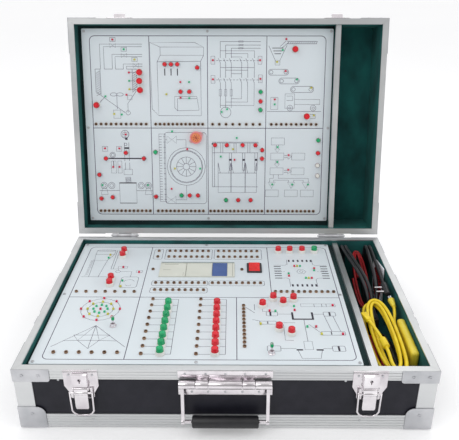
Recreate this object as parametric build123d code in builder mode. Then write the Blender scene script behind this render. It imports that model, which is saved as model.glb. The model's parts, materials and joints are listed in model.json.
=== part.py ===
# Control trainer in an aluminium-edged flight case, lid open, in millimetres.
# X runs to the right, Y to the back, Z up, with the floor at Z = 0.
import os
from math import cos, radians, sin, tan

from build123d import *

os.makedirs("parts", exist_ok=True)

# Case, outside sizes of the extrusions
base_height = 98.0
lid_height = 90.0
foot_height = 3.0
foot_radius = 7.0
foot_inset_x = 57.0
foot_inset_y = 42.0

# Sheet and board thicknesses
skin = 1.5
wall_board = 7.0
floor_board = 6.0
lining = 1.5
joint_gap = 0.2
seat_gap = 0.3

# Extrusions and corner caps
rim_width = skin + wall_board + lining
rim_thickness = 2.0
rim_lip = 16.0
edge_rail = 22.0
corner_post = 24.0
flute_width = 1.6
flute_depth = 0.5
flute_pitch = 4.6
cap_sheet = 1.2
rim_cap_front = 49.0
rim_cap_side = 60.0
rim_cap_height = 20.0
foot_cap_front = 37.0
foot_cap_height = 35.0
foot_cap_round = 12.0

# Lift-off hinges and the open lid
lid_open = 102.0
hinge_back = 4.5
hinge_up = 1.0
rim_gap = 0.6
hinge_inset = 86.5
hinge_leaf_width = 50.0
hinge_leaf_height = 30.0
hinge_leaf_sheet = 1.4
knuckle_radius = 3.6
knuckle_middle = 24.0
knuckle_outer = 12.0
hinge_pin_radius = 1.6
hinge_clearance = 0.1

# Front fittings
latch_inset = 90.5
latch_plate_top = 46.0
latch_plate_bottom = 33.0
latch_plate_height = 47.0
latch_plate_sheet = 1.2
lock_width = 20.0
lock_top = 3.0
lock_bottom = 22.0
lock_depth = 9.0
keyhole_radius = 2.2
lever_pivot_drop = 27.0
lever_pivot_out = 6.0
lever_width = 18.0
lever_length = 28.0
lever_sheet = 1.8
lever_barrel = 2.6
lever_pin = 1.1
ear_sheet = 1.6
bail_drop = 33.0
bail_out = 7.2
bail_wire = 1.5
bail_width = 30.0
bail_length = 38.0
bail_boss = 2.9
latch_play = 0.25
keeper_width = 47.0
keeper_height = 26.0
hook_width = 19.0
handle_plate_width = 126.0
handle_plate_height = 40.0
handle_flange_sheet = 1.4
handle_roll_drop = 18.5
handle_roll_out = 7.0
handle_roll_radius = 6.0
handle_pin_radius = 2.0
handle_knuckle_middle = 44.0
handle_knuckle_side = 16.5
handle_knuckle_end = 21.5
handle_knuckle_gap = 0.8
handle_arm_x = 57.0
handle_arm_length = 59.0
handle_grip_out = 12.0
handle_arm_width = 4.5
handle_arm_sheet = 4.0
handle_rod_radius = 2.5
grip_length = 90.0
grip_radius = 8.5

# Panels, dividers and what is behind them
panel_width = 456.0
panel_height = 355.0
layout_width = 456.0
layout_height = 355.0
panel_sheet = 3.0
panel_corner = 2.0
base_recess = 9.0
lid_recess = 25.0
base_side_gap = 4.0
base_rear_gap = 2.0
base_front_gap = 13.0
base_divider_gap = 9.0
lid_side_gap = 6.5
lid_top_gap = 5.5
lid_divider_gap = 1.5
pocket_width = 67.0
divider_board = 7.0
divider_cap = 9.0
divider_cap_height = 10.0
divider_recess = 6.0
batten_height = 18.0
batten_overlap = 8.0
board_sheet = 1.6
spacer_height = 22.0
spacer_radius = 3.0
board_margin = 24.0
supply_place = (90.0, 250.0)
supply_size = (96.0, 70.0)
supply_height = 30.0

# Controls
socket_radius = 2.9
socket_height = 3.0
lamp_size = 3.2
lamp_height = 2.6
screw_radius = 2.4
screw_height = 1.0
knob_collar_radius = 6.6
knob_collar_height = 6.0
knob_radius = 5.2
knob_height = 12.0
knob_travel = 2.5
key_collar_radius = 4.7
key_collar_height = 4.0
key_radius = 3.5
key_height = 7.0
key_travel = 1.5
button_play = 0.4
knob_sides = 6
key_sides = 5
barrel_sides = 10

# Window for the controller, and the mains rocker
controller_window = (151.0, 281.0, 72.5, 122.5)
controller_body_height = 80.0
controller_depth = 45.0
controller_proud = 2.0
rocker_place = (315.5, 91.2)
rocker_bezel = (26.0, 32.0)
rocker_window = (19.5, 25.6)
rocker_proud = 2.2
rocker_tilt = 10.0
rocker_stub = 1.5

# Things kept in the side compartment
mains_radius = 3.0
data_radius = 2.5
lead_radius = 2.0
cord_sides = 3
lead_sides = 3

# Places that follow from the sizes above
inner_width = base_side_gap + panel_width + base_divider_gap + divider_cap + pocket_width
inner_depth = base_rear_gap + panel_height + base_front_gap
case_width = inner_width + 2 * rim_width
hinge_x = case_width / 2 - hinge_inset
latch_x = case_width / 2 - latch_inset
case_depth = inner_depth + 2 * rim_width
base_panel_left = base_side_gap - inner_width / 2
base_panel_top = inner_depth / 2 - base_rear_gap
lid_panel_left = lid_side_gap - inner_width / 2
lid_panel_top = inner_depth / 2 - lid_top_gap
base_divider_x = base_panel_left + panel_width + base_divider_gap + divider_cap / 2
lid_divider_x = lid_panel_left + panel_width + lid_divider_gap + divider_cap / 2
base_rim = foot_height + base_height
turn = radians(lid_open)
front_reach = case_depth / 2 + handle_grip_out + grip_radius
lid_corner_y = hinge_back - hinge_back * cos(turn) + (rim_gap - hinge_up) * sin(turn)
lid_corner_z = hinge_up + hinge_back * sin(turn) + (rim_gap - hinge_up) * cos(turn)
back_reach = case_depth / 2 + lid_corner_y - case_depth * cos(turn) + lid_height * sin(turn)
case_centre = (front_reach - back_reach) / 2
up_the_lid = Vector(0, -cos(turn), sin(turn))
out_of_lid = Vector(0, -sin(turn), -cos(turn))
lid_corner = Vector(0, case_centre + case_depth / 2 + lid_corner_y, base_rim + lid_corner_z)

# Each tray is drawn on its own rim plane, whose Z axis points out of the tray
base_face = Plane(origin=(0, case_centre, base_rim), x_dir=(1, 0, 0), z_dir=(0, 0, 1))
lid_face = Plane(
    origin=lid_corner + up_the_lid * (case_depth / 2), x_dir=(1, 0, 0), z_dir=out_of_lid
)
trays = (("base", base_face, base_height), ("lid", lid_face, lid_height))
corners = [(x, y) for x in (-1, 1) for y in (-1, 1)]
board_width = case_width - 2 * skin
board_depth = case_depth - 2 * skin
front_face = case_centre - case_depth / 2
back_face = case_centre + case_depth / 2


def keep(piece, name):
    """Label a finished piece and write its STEP file."""
    piece.part.label = name
    export_step(piece.part, f"parts/{name}.step")


def ring(plane, outer, inner, height, mode=Mode.ADD):
    """A rectangular ring below the plane, inside the part that is being built."""
    with BuildSketch(plane) as outline:
        Rectangle(*outer)
        Rectangle(*inner, mode=Mode.SUBTRACT)
    extrude(outline.sketch, amount=-height, mode=mode)


def slit_corners(plane, width, depth, height, reach):
    """Part a ring into four mitred lengths with a fine gap at each corner."""
    for sx, sy in corners:
        with BuildSketch(plane.offset(1)) as saw_cut:
            with Locations(Location((sx * width / 2, sy * depth / 2), 45 * sx * sy)):
                Rectangle(reach, joint_gap)
        extrude(saw_cut.sketch, amount=-height - 2, mode=Mode.SUBTRACT)


def flutes(face, first, count):
    """Fine grooves that run round the outside of the tray."""
    for k in range(count):
        groove = face.offset(-first - k * flute_pitch)
        inner = (case_width - 2 * flute_depth, case_depth - 2 * flute_depth)
        ring(groove, (case_width, case_depth), inner, flute_width, Mode.SUBTRACT)


# Plywood box boards under black laminate: four walls and a floor
for tray, face, height in trays:
    floor_top = height - skin - floor_board
    with BuildPart() as box_panels:
        inner = (board_width - 2 * wall_board, board_depth - 2 * wall_board)
        wall_height = floor_top - rim_thickness - joint_gap
        ring(face.offset(-rim_thickness), (board_width, board_depth), inner, wall_height)
        slit_corners(face, inner[0] + wall_board, inner[1] + wall_board, height, 3 * wall_board)
        with BuildSketch(face.offset(-floor_top)):
            Rectangle(board_width, board_depth)
        extrude(amount=-floor_board)
    keep(box_panels, f"{tray}_box_panels")

# Rim extrusions, mitred at the corners
for tray, face, height in trays:
    with BuildPart() as rim_frame:
        ring(face, (case_width, case_depth), (inner_width, inner_depth), rim_thickness)
        ring(face, (case_width, case_depth), (board_width, board_depth), rim_lip)
        flutes(face, 3.0, 3)
        slit_corners(
            face, case_width - rim_width, case_depth - rim_width, rim_lip, 3 * rim_width
        )
    keep(rim_frame, f"{tray}_rim_frame")

# Edge rails round the outer floor, and the upright corner extrusions
for tray, face, height in trays:
    post_height = height - edge_rail - rim_lip - 2 * joint_gap
    with BuildPart() as edge_rails:
        rail_top = face.offset(edge_rail - height)
        ring(rail_top, (case_width, case_depth), (board_width, board_depth), edge_rail)
        inner = (case_width - 2 * edge_rail, case_depth - 2 * edge_rail)
        ring(face.offset(skin - height), (case_width, case_depth), inner, skin)
        flutes(face, height - edge_rail + 3.4, 4)
        slit_corners(
            rail_top, case_width - edge_rail, case_depth - edge_rail, edge_rail, 3 * edge_rail
        )
        with BuildSketch(face.offset(-rim_lip - joint_gap)):
            with Locations(*[(x * case_width / 2, y * case_depth / 2) for x, y in corners]):
                Rectangle(2 * corner_post, 2 * corner_post)
            Rectangle(case_width, case_depth, mode=Mode.INTERSECT)
            Rectangle(board_width, board_depth, mode=Mode.SUBTRACT)
        extrude(amount=-post_height)
    keep(edge_rails, f"{tray}_edge_rails")

# Pressed corner caps: an angle round each rim corner and a three-sided cap at each floor corner
for tray, face, height in trays:
    along_x = Axis(face.origin, face.x_dir)
    along_y = Axis(face.origin, face.y_dir)
    outer = (case_width + 2 * cap_sheet, case_depth + 2 * cap_sheet)
    with BuildPart() as corner_caps:
        with BuildSketch(face):
            Rectangle(*outer)
            Rectangle(case_width, case_depth, mode=Mode.SUBTRACT)
            Rectangle(case_width - 2 * rim_cap_front, 2 * case_depth, mode=Mode.SUBTRACT)
            Rectangle(2 * case_width, case_depth - 2 * rim_cap_side, mode=Mode.SUBTRACT)
        extrude(amount=-rim_cap_height)
        ends = corner_caps.edges().filter_by(along_y).filter_by(
            lambda e: abs(abs(face.to_local_coords(e.center()).X) - case_width / 2 + rim_cap_front) < 1
        )
        ends = ends.filter_by(lambda e: face.to_local_coords(e.center()).Z < -rim_cap_height / 2)
        fillet(ends, 4.0)
        with BuildSketch(face.offset(foot_cap_height - height)):
            with Locations(*[(x * outer[0] / 2, y * outer[1] / 2) for x, y in corners]):
                Rectangle(2 * foot_cap_front + 2, 2 * foot_cap_front + 2)
            Rectangle(*outer, mode=Mode.INTERSECT)
        extrude(amount=-foot_cap_height - cap_sheet)
        with BuildSketch(face.offset(foot_cap_height - height)):
            Rectangle(case_width, case_depth)
        extrude(amount=-foot_cap_height, mode=Mode.SUBTRACT)
        tops = corner_caps.edges().filter_by(
            lambda e: abs(face.to_local_coords(e.center()).Z + height - foot_cap_height) < 20
        )
        rounded = [e for e in tops.filter_by(along_y) if e.length < 2 * cap_sheet]
        rounded += [e for e in tops.filter_by(along_x) if e.length < 2 * cap_sheet]
        free = [
            e for e in rounded
            if min(
                abs(abs(face.to_local_coords(e.center()).X) - outer[0] / 2),
                abs(abs(face.to_local_coords(e.center()).Y) - outer[1] / 2),
            ) < cap_sheet
            and face.to_local_coords(e.center()).Z > foot_cap_height - height - 1
        ]
        fillet(free, foot_cap_round)
    keep(corner_caps, f"{tray}_corner_caps")

# Velvet-faced lining inside each tray
for tray, face, height in trays:
    floor_top = height - skin - floor_board
    outer = (inner_width + 2 * lining, inner_depth + 2 * lining)
    with BuildPart() as tray_lining:
        ring(face.offset(-rim_thickness), outer, (inner_width, inner_depth), floor_top - rim_thickness)
        with BuildSketch(face.offset(lining - floor_top)):
            Rectangle(*outer)
        extrude(amount=-lining)
    keep(tray_lining, f"{tray}_lining")

# Divider boards beside the panels, each with an aluminium channel on its edge
for tray, face, height, divider_x in (
    ("base", base_face, base_height, base_divider_x),
    ("lid", lid_face, lid_height, lid_divider_x),
):
    floor_top = height - skin - floor_board - lining
    channel_wall = (divider_cap - divider_board) / 2
    with BuildPart() as divider:
        with BuildSketch(face.offset(-divider_recess)):
            with Locations((divider_x, 0)):
                Rectangle(divider_cap, inner_depth)
        extrude(amount=-divider_cap_height)
        with BuildSketch(face.offset(-divider_recess - channel_wall)):
            with Locations((divider_x, 0)):
                Rectangle(divider_board, inner_depth)
        extrude(amount=divider_recess + channel_wall - floor_top)
    keep(divider, f"{tray}_divider")

# Timber battens that carry each panel
for tray, face, divider_x, recess, left, top in (
    ("base", base_face, base_divider_x, base_recess, base_panel_left, base_panel_top),
    ("lid", lid_face, lid_divider_x, lid_recess, lid_panel_left, lid_panel_top),
):
    well_left = -inner_width / 2
    well_right = divider_x - divider_cap / 2
    well_middle = (well_left + well_right) / 2
    panel_x = left + panel_width / 2
    panel_y = top - panel_height / 2
    with BuildPart() as battens:
        with BuildSketch(face.offset(-recess - panel_sheet)):
            with Locations((well_middle, 0)):
                Rectangle(well_right - well_left, inner_depth)
            with Locations((panel_x, panel_y)):
                Rectangle(
                    panel_width - 2 * batten_overlap,
                    panel_height - 2 * batten_overlap,
                    mode=Mode.SUBTRACT,
                )
        extrude(amount=-batten_height)
        for sx, sy in corners:
            x = panel_x + sx * (panel_width / 2 - batten_overlap)
            y = panel_y + sy * (panel_height / 2 - batten_overlap)
            with BuildSketch(face.offset(-recess)):
                with Locations((x + sx * 20, y - sy * joint_gap)):
                    Rectangle(40, joint_gap)
            extrude(amount=-batten_height - 2 * panel_sheet, mode=Mode.SUBTRACT)
    keep(battens, f"{tray}_battens")


def base_point(x, y):
    """A point of the layout, from the base panel's rear left corner, on the base face."""
    return (base_panel_left + x * panel_width / layout_width, base_panel_top - y * panel_height / layout_height)


def lid_point(x, y):
    """A point of the layout, from the lid panel's upper left corner, on the lid face."""
    return (lid_panel_left + x * panel_width / layout_width, lid_panel_top - y * panel_height / layout_height)


def row(first, last, count, y):
    """Evenly spaced places along a line across a panel."""
    return [(first + (last - first) * k / (count - 1), y) for k in range(count)]


def column(x, first, last, count):
    """Evenly spaced places along a line down a panel."""
    return [(x, first + (last - first) * k / (count - 1)) for k in range(count)]


# Controller window, rocker hole and toggle holes go through the base panel
window_left, window_right, window_top, window_bottom = controller_window
window_size = (window_right - window_left, window_bottom - window_top)
window_centre = base_point((window_left + window_right) / 2, (window_top + window_bottom) / 2)
toggle_places = [(99.8, 266.8), (332.7, 330.6)]
bush_radius = 3.8
bush_bore = 2.7
with BuildPart() as base_panel:
    with BuildSketch(base_face.offset(-base_recess)):
        with Locations((base_panel_left + panel_width / 2, base_panel_top - panel_height / 2)):
            RectangleRounded(panel_width, panel_height, panel_corner)
        with Locations(window_centre):
            Rectangle(window_size[0] + seat_gap, window_size[1] + seat_gap, mode=Mode.SUBTRACT)
        with Locations(base_point(*rocker_place)):
            Rectangle(rocker_window[0] + 3, rocker_window[1] + 3, mode=Mode.SUBTRACT)
        with Locations(*[base_point(*p) for p in toggle_places]):
            Circle(bush_bore, mode=Mode.SUBTRACT)
    extrude(amount=-panel_sheet)
keep(base_panel, "base_panel")

with BuildPart() as lid_panel:
    with BuildSketch(lid_face.offset(-lid_recess)):
        with Locations((lid_panel_left + panel_width / 2, lid_panel_top - panel_height / 2)):
            RectangleRounded(panel_width, panel_height, panel_corner)
    extrude(amount=-panel_sheet)
keep(lid_panel, "lid_panel")

# Circuit board, spacers and supply block behind the base panel
board_top = base_recess + panel_sheet + spacer_height
board_centre = (base_panel_left + panel_width / 2, base_panel_top - panel_height / 2)
with BuildPart() as base_circuit_board:
    with BuildSketch(base_face.offset(-board_top)):
        with Locations(board_centre):
            Rectangle(panel_width - 2 * board_margin, panel_height - 2 * board_margin)
        with Locations(window_centre):
            Rectangle(window_size[0] + 8, controller_body_height + 8, mode=Mode.SUBTRACT)
        with Locations(base_point(*rocker_place)):
            Rectangle(rocker_bezel[0], rocker_bezel[1], mode=Mode.SUBTRACT)
    extrude(amount=-board_sheet)
    with BuildSketch(base_face.offset(-board_top)):
        with Locations(board_centre):
            with GridLocations(panel_width - 3 * board_margin, panel_height - 3 * board_margin, 2, 2):
                RegularPolygon(spacer_radius, 6)
    extrude(amount=spacer_height)
    with BuildSketch(base_face.offset(-board_top - board_sheet)):
        with Locations(base_point(*supply_place)):
            Rectangle(*supply_size)
    extrude(amount=-supply_height)
keep(base_circuit_board, "base_circuit_board")

lid_board_top = lid_recess + panel_sheet + spacer_height
lid_board_centre = (lid_panel_left + panel_width / 2, lid_panel_top - panel_height / 2)
with BuildPart() as lid_circuit_board:
    with BuildSketch(lid_face.offset(-lid_board_top)):
        with Locations(lid_board_centre):
            Rectangle(panel_width - 2 * board_margin, panel_height - 2 * board_margin)
    extrude(amount=-board_sheet)
    with BuildSketch(lid_face.offset(-lid_board_top)):
        with Locations(lid_board_centre):
            with GridLocations(panel_width - 3 * board_margin, panel_height - 3 * board_margin, 2, 2):
                RegularPolygon(spacer_radius, 6)
    extrude(amount=spacer_height)
keep(lid_circuit_board, "lid_circuit_board")

# Programmable controller: wide body under the panel, stepped face through the window
with BuildPart() as controller:
    with BuildSketch(base_face.offset(-base_recess - panel_sheet)):
        with Locations(window_centre):
            Rectangle(window_size[0] + 4, controller_body_height)
    extrude(amount=-controller_depth)
    with BuildSketch(base_face.offset(-base_recess - panel_sheet)):
        with Locations(window_centre):
            Rectangle(*window_size)
    extrude(amount=panel_sheet + controller_proud)
    with BuildSketch(base_face.offset(-base_recess + controller_proud)):
        with Locations((window_centre[0] - 19.0, window_centre[1])):
            Rectangle(1.0, window_size[1])
        with Locations((window_centre[0], window_centre[1] + 19.0)):
            Rectangle(window_size[0], 1.0)
        with Locations((window_centre[0] + 39.0, window_centre[1] - 3.0)):
            Rectangle(27.0, 32.0)
    extrude(amount=-0.8, mode=Mode.SUBTRACT)
keep(controller, "controller")

# Mains rocker: a bezel with a well, and a key that rocks across it
rocker_x, rocker_y = base_point(*rocker_place)
rocker_pivot = (rocker_x, case_centre + rocker_y, base_rim - base_recess - 1.0)
key_half = rocker_window[1] / 2 - 1.1
rocker_lean = radians(rocker_tilt)
rocker_side = Plane(
    origin=rocker_pivot, x_dir=(0, cos(rocker_lean), sin(rocker_lean)), z_dir=(1, 0, 0)
)
with BuildPart() as rocker_frame:
    with BuildSketch(base_face.offset(-base_recess)):
        with Locations(base_point(*rocker_place)):
            RectangleRounded(*rocker_bezel, 2.0)
    extrude(amount=rocker_proud)
    with BuildSketch(base_face.offset(-base_recess)):
        with Locations(base_point(*rocker_place)):
            Rectangle(rocker_window[0] + 2.4, rocker_window[1] + 2.4)
    extrude(amount=-20.0)
    with BuildSketch(base_face.offset(-base_recess + rocker_proud)):
        with Locations(base_point(*rocker_place)):
            Rectangle(*rocker_window)
    extrude(amount=-rocker_proud - 9.0, mode=Mode.SUBTRACT)
    with BuildSketch(rocker_side):
        Circle(rocker_stub + 0.1)
    extrude(amount=rocker_window[0] / 2 + 0.9, both=True, mode=Mode.SUBTRACT)
keep(rocker_frame, "rocker_bezel")

with BuildPart() as rocker_key:
    with BuildSketch(rocker_side):
        with BuildLine():
            Polyline(
                (-key_half, 5.0), (0, 2.9), (key_half, 5.0), (9.0, -3.0), (-9.0, -3.0), close=True
            )
        make_face()
    extrude(amount=rocker_window[0] / 2 - seat_gap, both=True)
    with BuildSketch(rocker_side):
        Circle(rocker_stub)
    extrude(amount=rocker_window[0] / 2 + 0.8, both=True)
keep(rocker_key, "rocker_key")

# Push buttons: collars fixed on the panels and caps that slide in them
green_column = [(177.0, 210.2 + 17.55 * k) for k in range(8)]
red_column = [(253.4, 210.2 + 17.55 * k) for k in range(8)]
scene_knobs = [
    (79, 36), (79, 53), (72.5, 133), (73, 150),
    (361, 32.5), (382, 32), (404.5, 31.5),
    (342.7, 192.6), (324.7, 212.6), (357.4, 206.2), (374.5, 195), (346.7, 274.4), (364, 285.2),
]
crossing_green_knob = [(427, 31)]
tank_knobs = [(103.8, 76.5), (103.3, 92.1), (104.2, 108.5), (23.1, 135.7), (387.2, 35.9), (411.4, 155.5)]
vending_keys = [(149.7, 62.4), (161.2, 62.4), (172.9, 62.4), (209.1, 68.3), (177.9, 111.2), (194.2, 111.2)]
conveyor_keys = [(35, 234.8), (106.7, 234.7), (73, 224), (21.4, 265.7), (23.3, 311.5), (44.8, 309.1)]
washer_keys = [(127.8, 307.7), (192.3, 305.2), (207.8, 305.2)]
plating_keys = [
    (241, 209.2), (263.1, 209.2), (292.8, 209.1), (316.9, 209.1),
    (329.5, 218.3), (329.4, 234.5), (284.9, 314), (308.6, 314),
]
lid_red_keys = vending_keys + [(325.3, 128.5)] + conveyor_keys + washer_keys + plating_keys + [(434.3, 223.8)]
lid_green_keys = [(325.3, 111.5), (325.3, 144), (128.9, 222.5), (176.5, 305.2), (261.5, 314), (434.1, 199.8)]
lid_white_keys = [(434.2, 247.2), (434.8, 266.9)]

base_knobs = green_column + red_column + scene_knobs + crossing_green_knob
lid_keys = lid_red_keys + lid_green_keys + lid_white_keys


def collars(plane, places, radius, bore, height, floor, sides):
    """Cup-shaped collars that stand on a panel."""
    with BuildSketch(plane) as outlines:
        with Locations(*places):
            RegularPolygon(radius, sides)
    extrude(outlines.sketch, amount=height)
    with BuildSketch(plane.offset(floor)) as bores:
        with Locations(*places):
            RegularPolygon(bore, sides)
    extrude(bores.sketch, amount=height, mode=Mode.SUBTRACT)


def caps(plane, places, radius, low, high, bevel, sides):
    """Plungers that fill the collars, with a bevelled top."""
    with BuildSketch(plane.offset(low)) as outlines:
        with Locations(*places):
            RegularPolygon(radius, sides)
    extrude(outlines.sketch, amount=high - bevel - low)
    if bevel:
        with BuildSketch(plane.offset(high - bevel)) as shoulders:
            with Locations(*places):
                RegularPolygon(radius, sides)
        extrude(shoulders.sketch, amount=bevel, taper=40)


base_top = base_face.offset(-base_recess)
lid_top = lid_face.offset(-lid_recess)
knob_bore = knob_radius + button_play
key_bore = key_radius + button_play
knob_low = knob_travel + 1.3
key_low = key_travel + 0.9

with BuildPart() as base_button_collars:
    places = [base_point(*p) for p in base_knobs]
    collars(base_top, places, knob_collar_radius, knob_bore, knob_collar_height, 1.0, knob_sides)
keep(base_button_collars, "base_button_collars")

with BuildPart() as lid_button_collars:
    places = [lid_point(*p) for p in tank_knobs]
    collars(lid_top, places, knob_collar_radius, knob_bore, knob_collar_height, 1.0, knob_sides)
    places = [lid_point(*p) for p in lid_keys]
    collars(lid_top, places, key_collar_radius, key_bore, key_collar_height, 0.6, key_sides)
keep(lid_button_collars, "lid_button_collars")

for name, plane, places, point in (
    ("base_buttons_green", base_top, green_column + crossing_green_knob, base_point),
    ("input_buttons_red", base_top, red_column, base_point),
    ("scene_buttons_red", base_top, scene_knobs, base_point),
    ("tank_buttons_red", lid_top, tank_knobs, lid_point),
):
    with BuildPart() as bank:
        caps(plane, [point(*p) for p in places], knob_radius, knob_low, knob_height, 1.2, knob_sides)
    keep(bank, name)

for name, places in (
    ("lid_buttons_red", lid_red_keys),
    ("lid_buttons_green", lid_green_keys),
    ("lid_buttons_white", lid_white_keys),
):
    with BuildPart() as bank:
        caps(lid_top, [lid_point(*p) for p in places], key_radius, key_low, key_height, 0, key_sides)
    keep(bank, name)

# Toggle switches: a bush on the panel and a lever that tips in it
toggle_tilt = 12.0
bush_height = 5.0
with BuildPart() as toggle_bushes:
    with BuildSketch(base_top):
        with Locations(*[base_point(*p) for p in toggle_places]):
            RegularPolygon(5.5, 6)
            Circle(bush_bore, mode=Mode.SUBTRACT)
    extrude(amount=1.8)
    with BuildSketch(base_top):
        with Locations(*[base_point(*p) for p in toggle_places]):
            RegularPolygon(bush_radius, 8)
            Circle(bush_bore, mode=Mode.SUBTRACT)
    extrude(amount=bush_height)
keep(toggle_bushes, "toggle_bushes")

for name, place in zip(("toggle_lever_left", "toggle_lever_right"), toggle_places):
    x, y = base_point(*place)
    pivot = Vector(x, case_centre + y, base_rim - base_recess)
    upright = Plane(origin=pivot, x_dir=(1, 0, 0), z_dir=(0, sin(radians(toggle_tilt)), cos(radians(toggle_tilt))))
    with BuildPart() as toggle:
        with BuildSketch(Plane(origin=pivot, x_dir=(0, 1, 0), z_dir=(1, 0, 0))):
            Circle(bush_bore - 0.3)
        extrude(amount=1.0, both=True)
        with BuildSketch(upright):
            RegularPolygon(1.2, 6)
        extrude(amount=9.0)
        with BuildSketch(upright.offset(8.0)):
            RegularPolygon(1.9, 6)
        extrude(amount=8.0, taper=-4)
    keep(toggle, name)

# Sockets for the patch leads
lid_socket_places = (
    row(19.4, 113.0, 11, 170.6) + row(130.9, 218.4, 12, 170.6)
    + row(236.9, 324.8, 8, 170.6) + row(346.3, 429.8, 10, 170.6)
    + row(20.9, 116.1, 13, 336) + row(131.5, 218.3, 12, 336)
    + row(232.2, 331.0, 14, 336) + row(342.3, 429.8, 12, 336)
)
base_socket_places = (
    row(22.4, 117, 7, 170.5) + row(27.9, 117, 6, 330.4)
    + [(142, 29), (142, 51), (139, 96.7), (293.7, 96.6)]
    + row(162, 232.9, 8, 29) + row(162, 232.9, 8, 51)
    + row(251.2, 322.1, 8, 29) + row(251.2, 322.1, 8, 51)
    + row(148.8, 230.5, 9, 142) + row(243.8, 324.3, 9, 142)
    + row(149.5, 229.9, 9, 164.6) + row(347.6, 442.6, 11, 169)
    + column(295, 210.7, 315.3, 12)
    + column(150.4, 192.6, 333.0, 9) + column(227.1, 192.6, 333.0, 9)
)
for name, plane, places in (
    ("base_sockets", base_top, [base_point(*p) for p in base_socket_places]),
    ("lid_sockets", lid_top, [lid_point(*p) for p in lid_socket_places]),
):
    with BuildPart() as sockets:
        with BuildSketch(plane):
            with Locations(*places):
                RegularPolygon(socket_radius, 4)
        extrude(amount=socket_height)
    keep(sockets, name)

# Signal lamps, in each picture's own list
star_centre = (72.1, 221.5)
star_rings = (11.0, 20.0, 30.3)
star_lamps = [star_centre] + [
    (star_centre[0] + r * cos(radians(45 * k)), star_centre[1] + r * sin(radians(45 * k)))
    for r in star_rings for k in range(8)
]
crossing_lamps = [
    (386, 84), (391, 84), (396, 84), (420, 92), (419, 99),
    (402, 125), (407, 125), (412, 125), (374, 110), (374, 118),
]
mixer_lamps = [(55, 45), (54, 56), (86, 90), (116, 107), (92, 136), (92, 154)]
line_lamps = [
    (335, 225), (344, 226), (374, 212), (374, 223), (435, 209),
    (320, 260), (389, 267), (402, 267), (408, 285), (439, 285),
]
tank_lamps = [
    (56, 19), (76, 36), (95, 54), (84, 77), (84, 92), (84, 107), (78, 117), (39, 120), (54, 152), (68, 153),
]
vending_lamps = [(178, 94), (194, 94), (152, 116), (178, 122), (194, 123)]
motor_lamps = [(238, 55), (238, 89), (324, 55), (325, 88), (264, 143), (254, 148)]
hopper_lamps = [
    (371, 18), (365, 37), (355, 58), (371, 74), (392, 89), (419, 104), (352, 125), (352, 134), (425, 154),
]
conveyor_lamps = [(74, 190), (34, 216), (61, 216), (48, 251), (60, 251), (26, 286), (113, 286)]
washer_lamps = [(161, 184), (189, 217), (165, 254), (213, 254), (158, 293)]
plating_lamps = [(282, 196), (275, 217), (252, 231), (278, 237)]
sorting_lamps = [(359, 213), (380, 228), (359, 241), (380, 256), (350, 284), (388, 284), (418, 284)]
base_lamp_places = star_lamps + crossing_lamps + mixer_lamps + line_lamps
lid_lamp_places = (
    tank_lamps + vending_lamps + motor_lamps + hopper_lamps
    + conveyor_lamps + washer_lamps + plating_lamps + sorting_lamps
)
for name, plane, places in (
    ("base_lamps", base_top, [base_point(*p) for p in base_lamp_places]),
    ("lid_lamps", lid_top, [lid_point(*p) for p in lid_lamp_places]),
):
    with BuildPart() as lamps:
        with BuildSketch(plane):
            with Locations(*places):
                Rectangle(lamp_size, lamp_size)
        extrude(amount=lamp_height)
    keep(lamps, name)

# Buzzer on the lid panel: a round can between two fixing ears
buzzer_place = (205.9, 195.2)
with BuildPart() as buzzer:
    with BuildSketch(lid_top):
        with Locations(Location(lid_point(*buzzer_place), 35)):
            Rectangle(30.0, 7.0)
    extrude(amount=2.0)
    with BuildSketch(lid_top):
        with Locations(lid_point(*buzzer_place)):
            RegularPolygon(11.5, 14)
    extrude(amount=8.0)
    with BuildSketch(lid_top.offset(8.0)):
        with Locations(lid_point(*buzzer_place)):
            RegularPolygon(9.0, 14)
            RegularPolygon(2.5, 6, mode=Mode.SUBTRACT)
    extrude(amount=-1.0, mode=Mode.SUBTRACT)
keep(buzzer, "buzzer")

# Panel screws sit round the edge of each panel
screw_inset = 4.5
screw_spots = [
    (x, y)
    for x in (screw_inset, layout_width / 2, layout_width - screw_inset)
    for y in (screw_inset, layout_height / 2, layout_height - screw_inset)
    if (x, y) != (layout_width / 2, layout_height / 2)
]

# Rubber feet
with BuildPart() as rubber_feet:
    with BuildSketch(Plane.XY.offset(foot_height)):
        with Locations((0, case_centre)):
            with GridLocations(case_width - 2 * foot_inset_x, case_depth - 2 * foot_inset_y, 2, 2):
                RegularPolygon(foot_radius, 10)
    extrude(amount=-foot_height, taper=20)
keep(rubber_feet, "rubber_feet")

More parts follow.
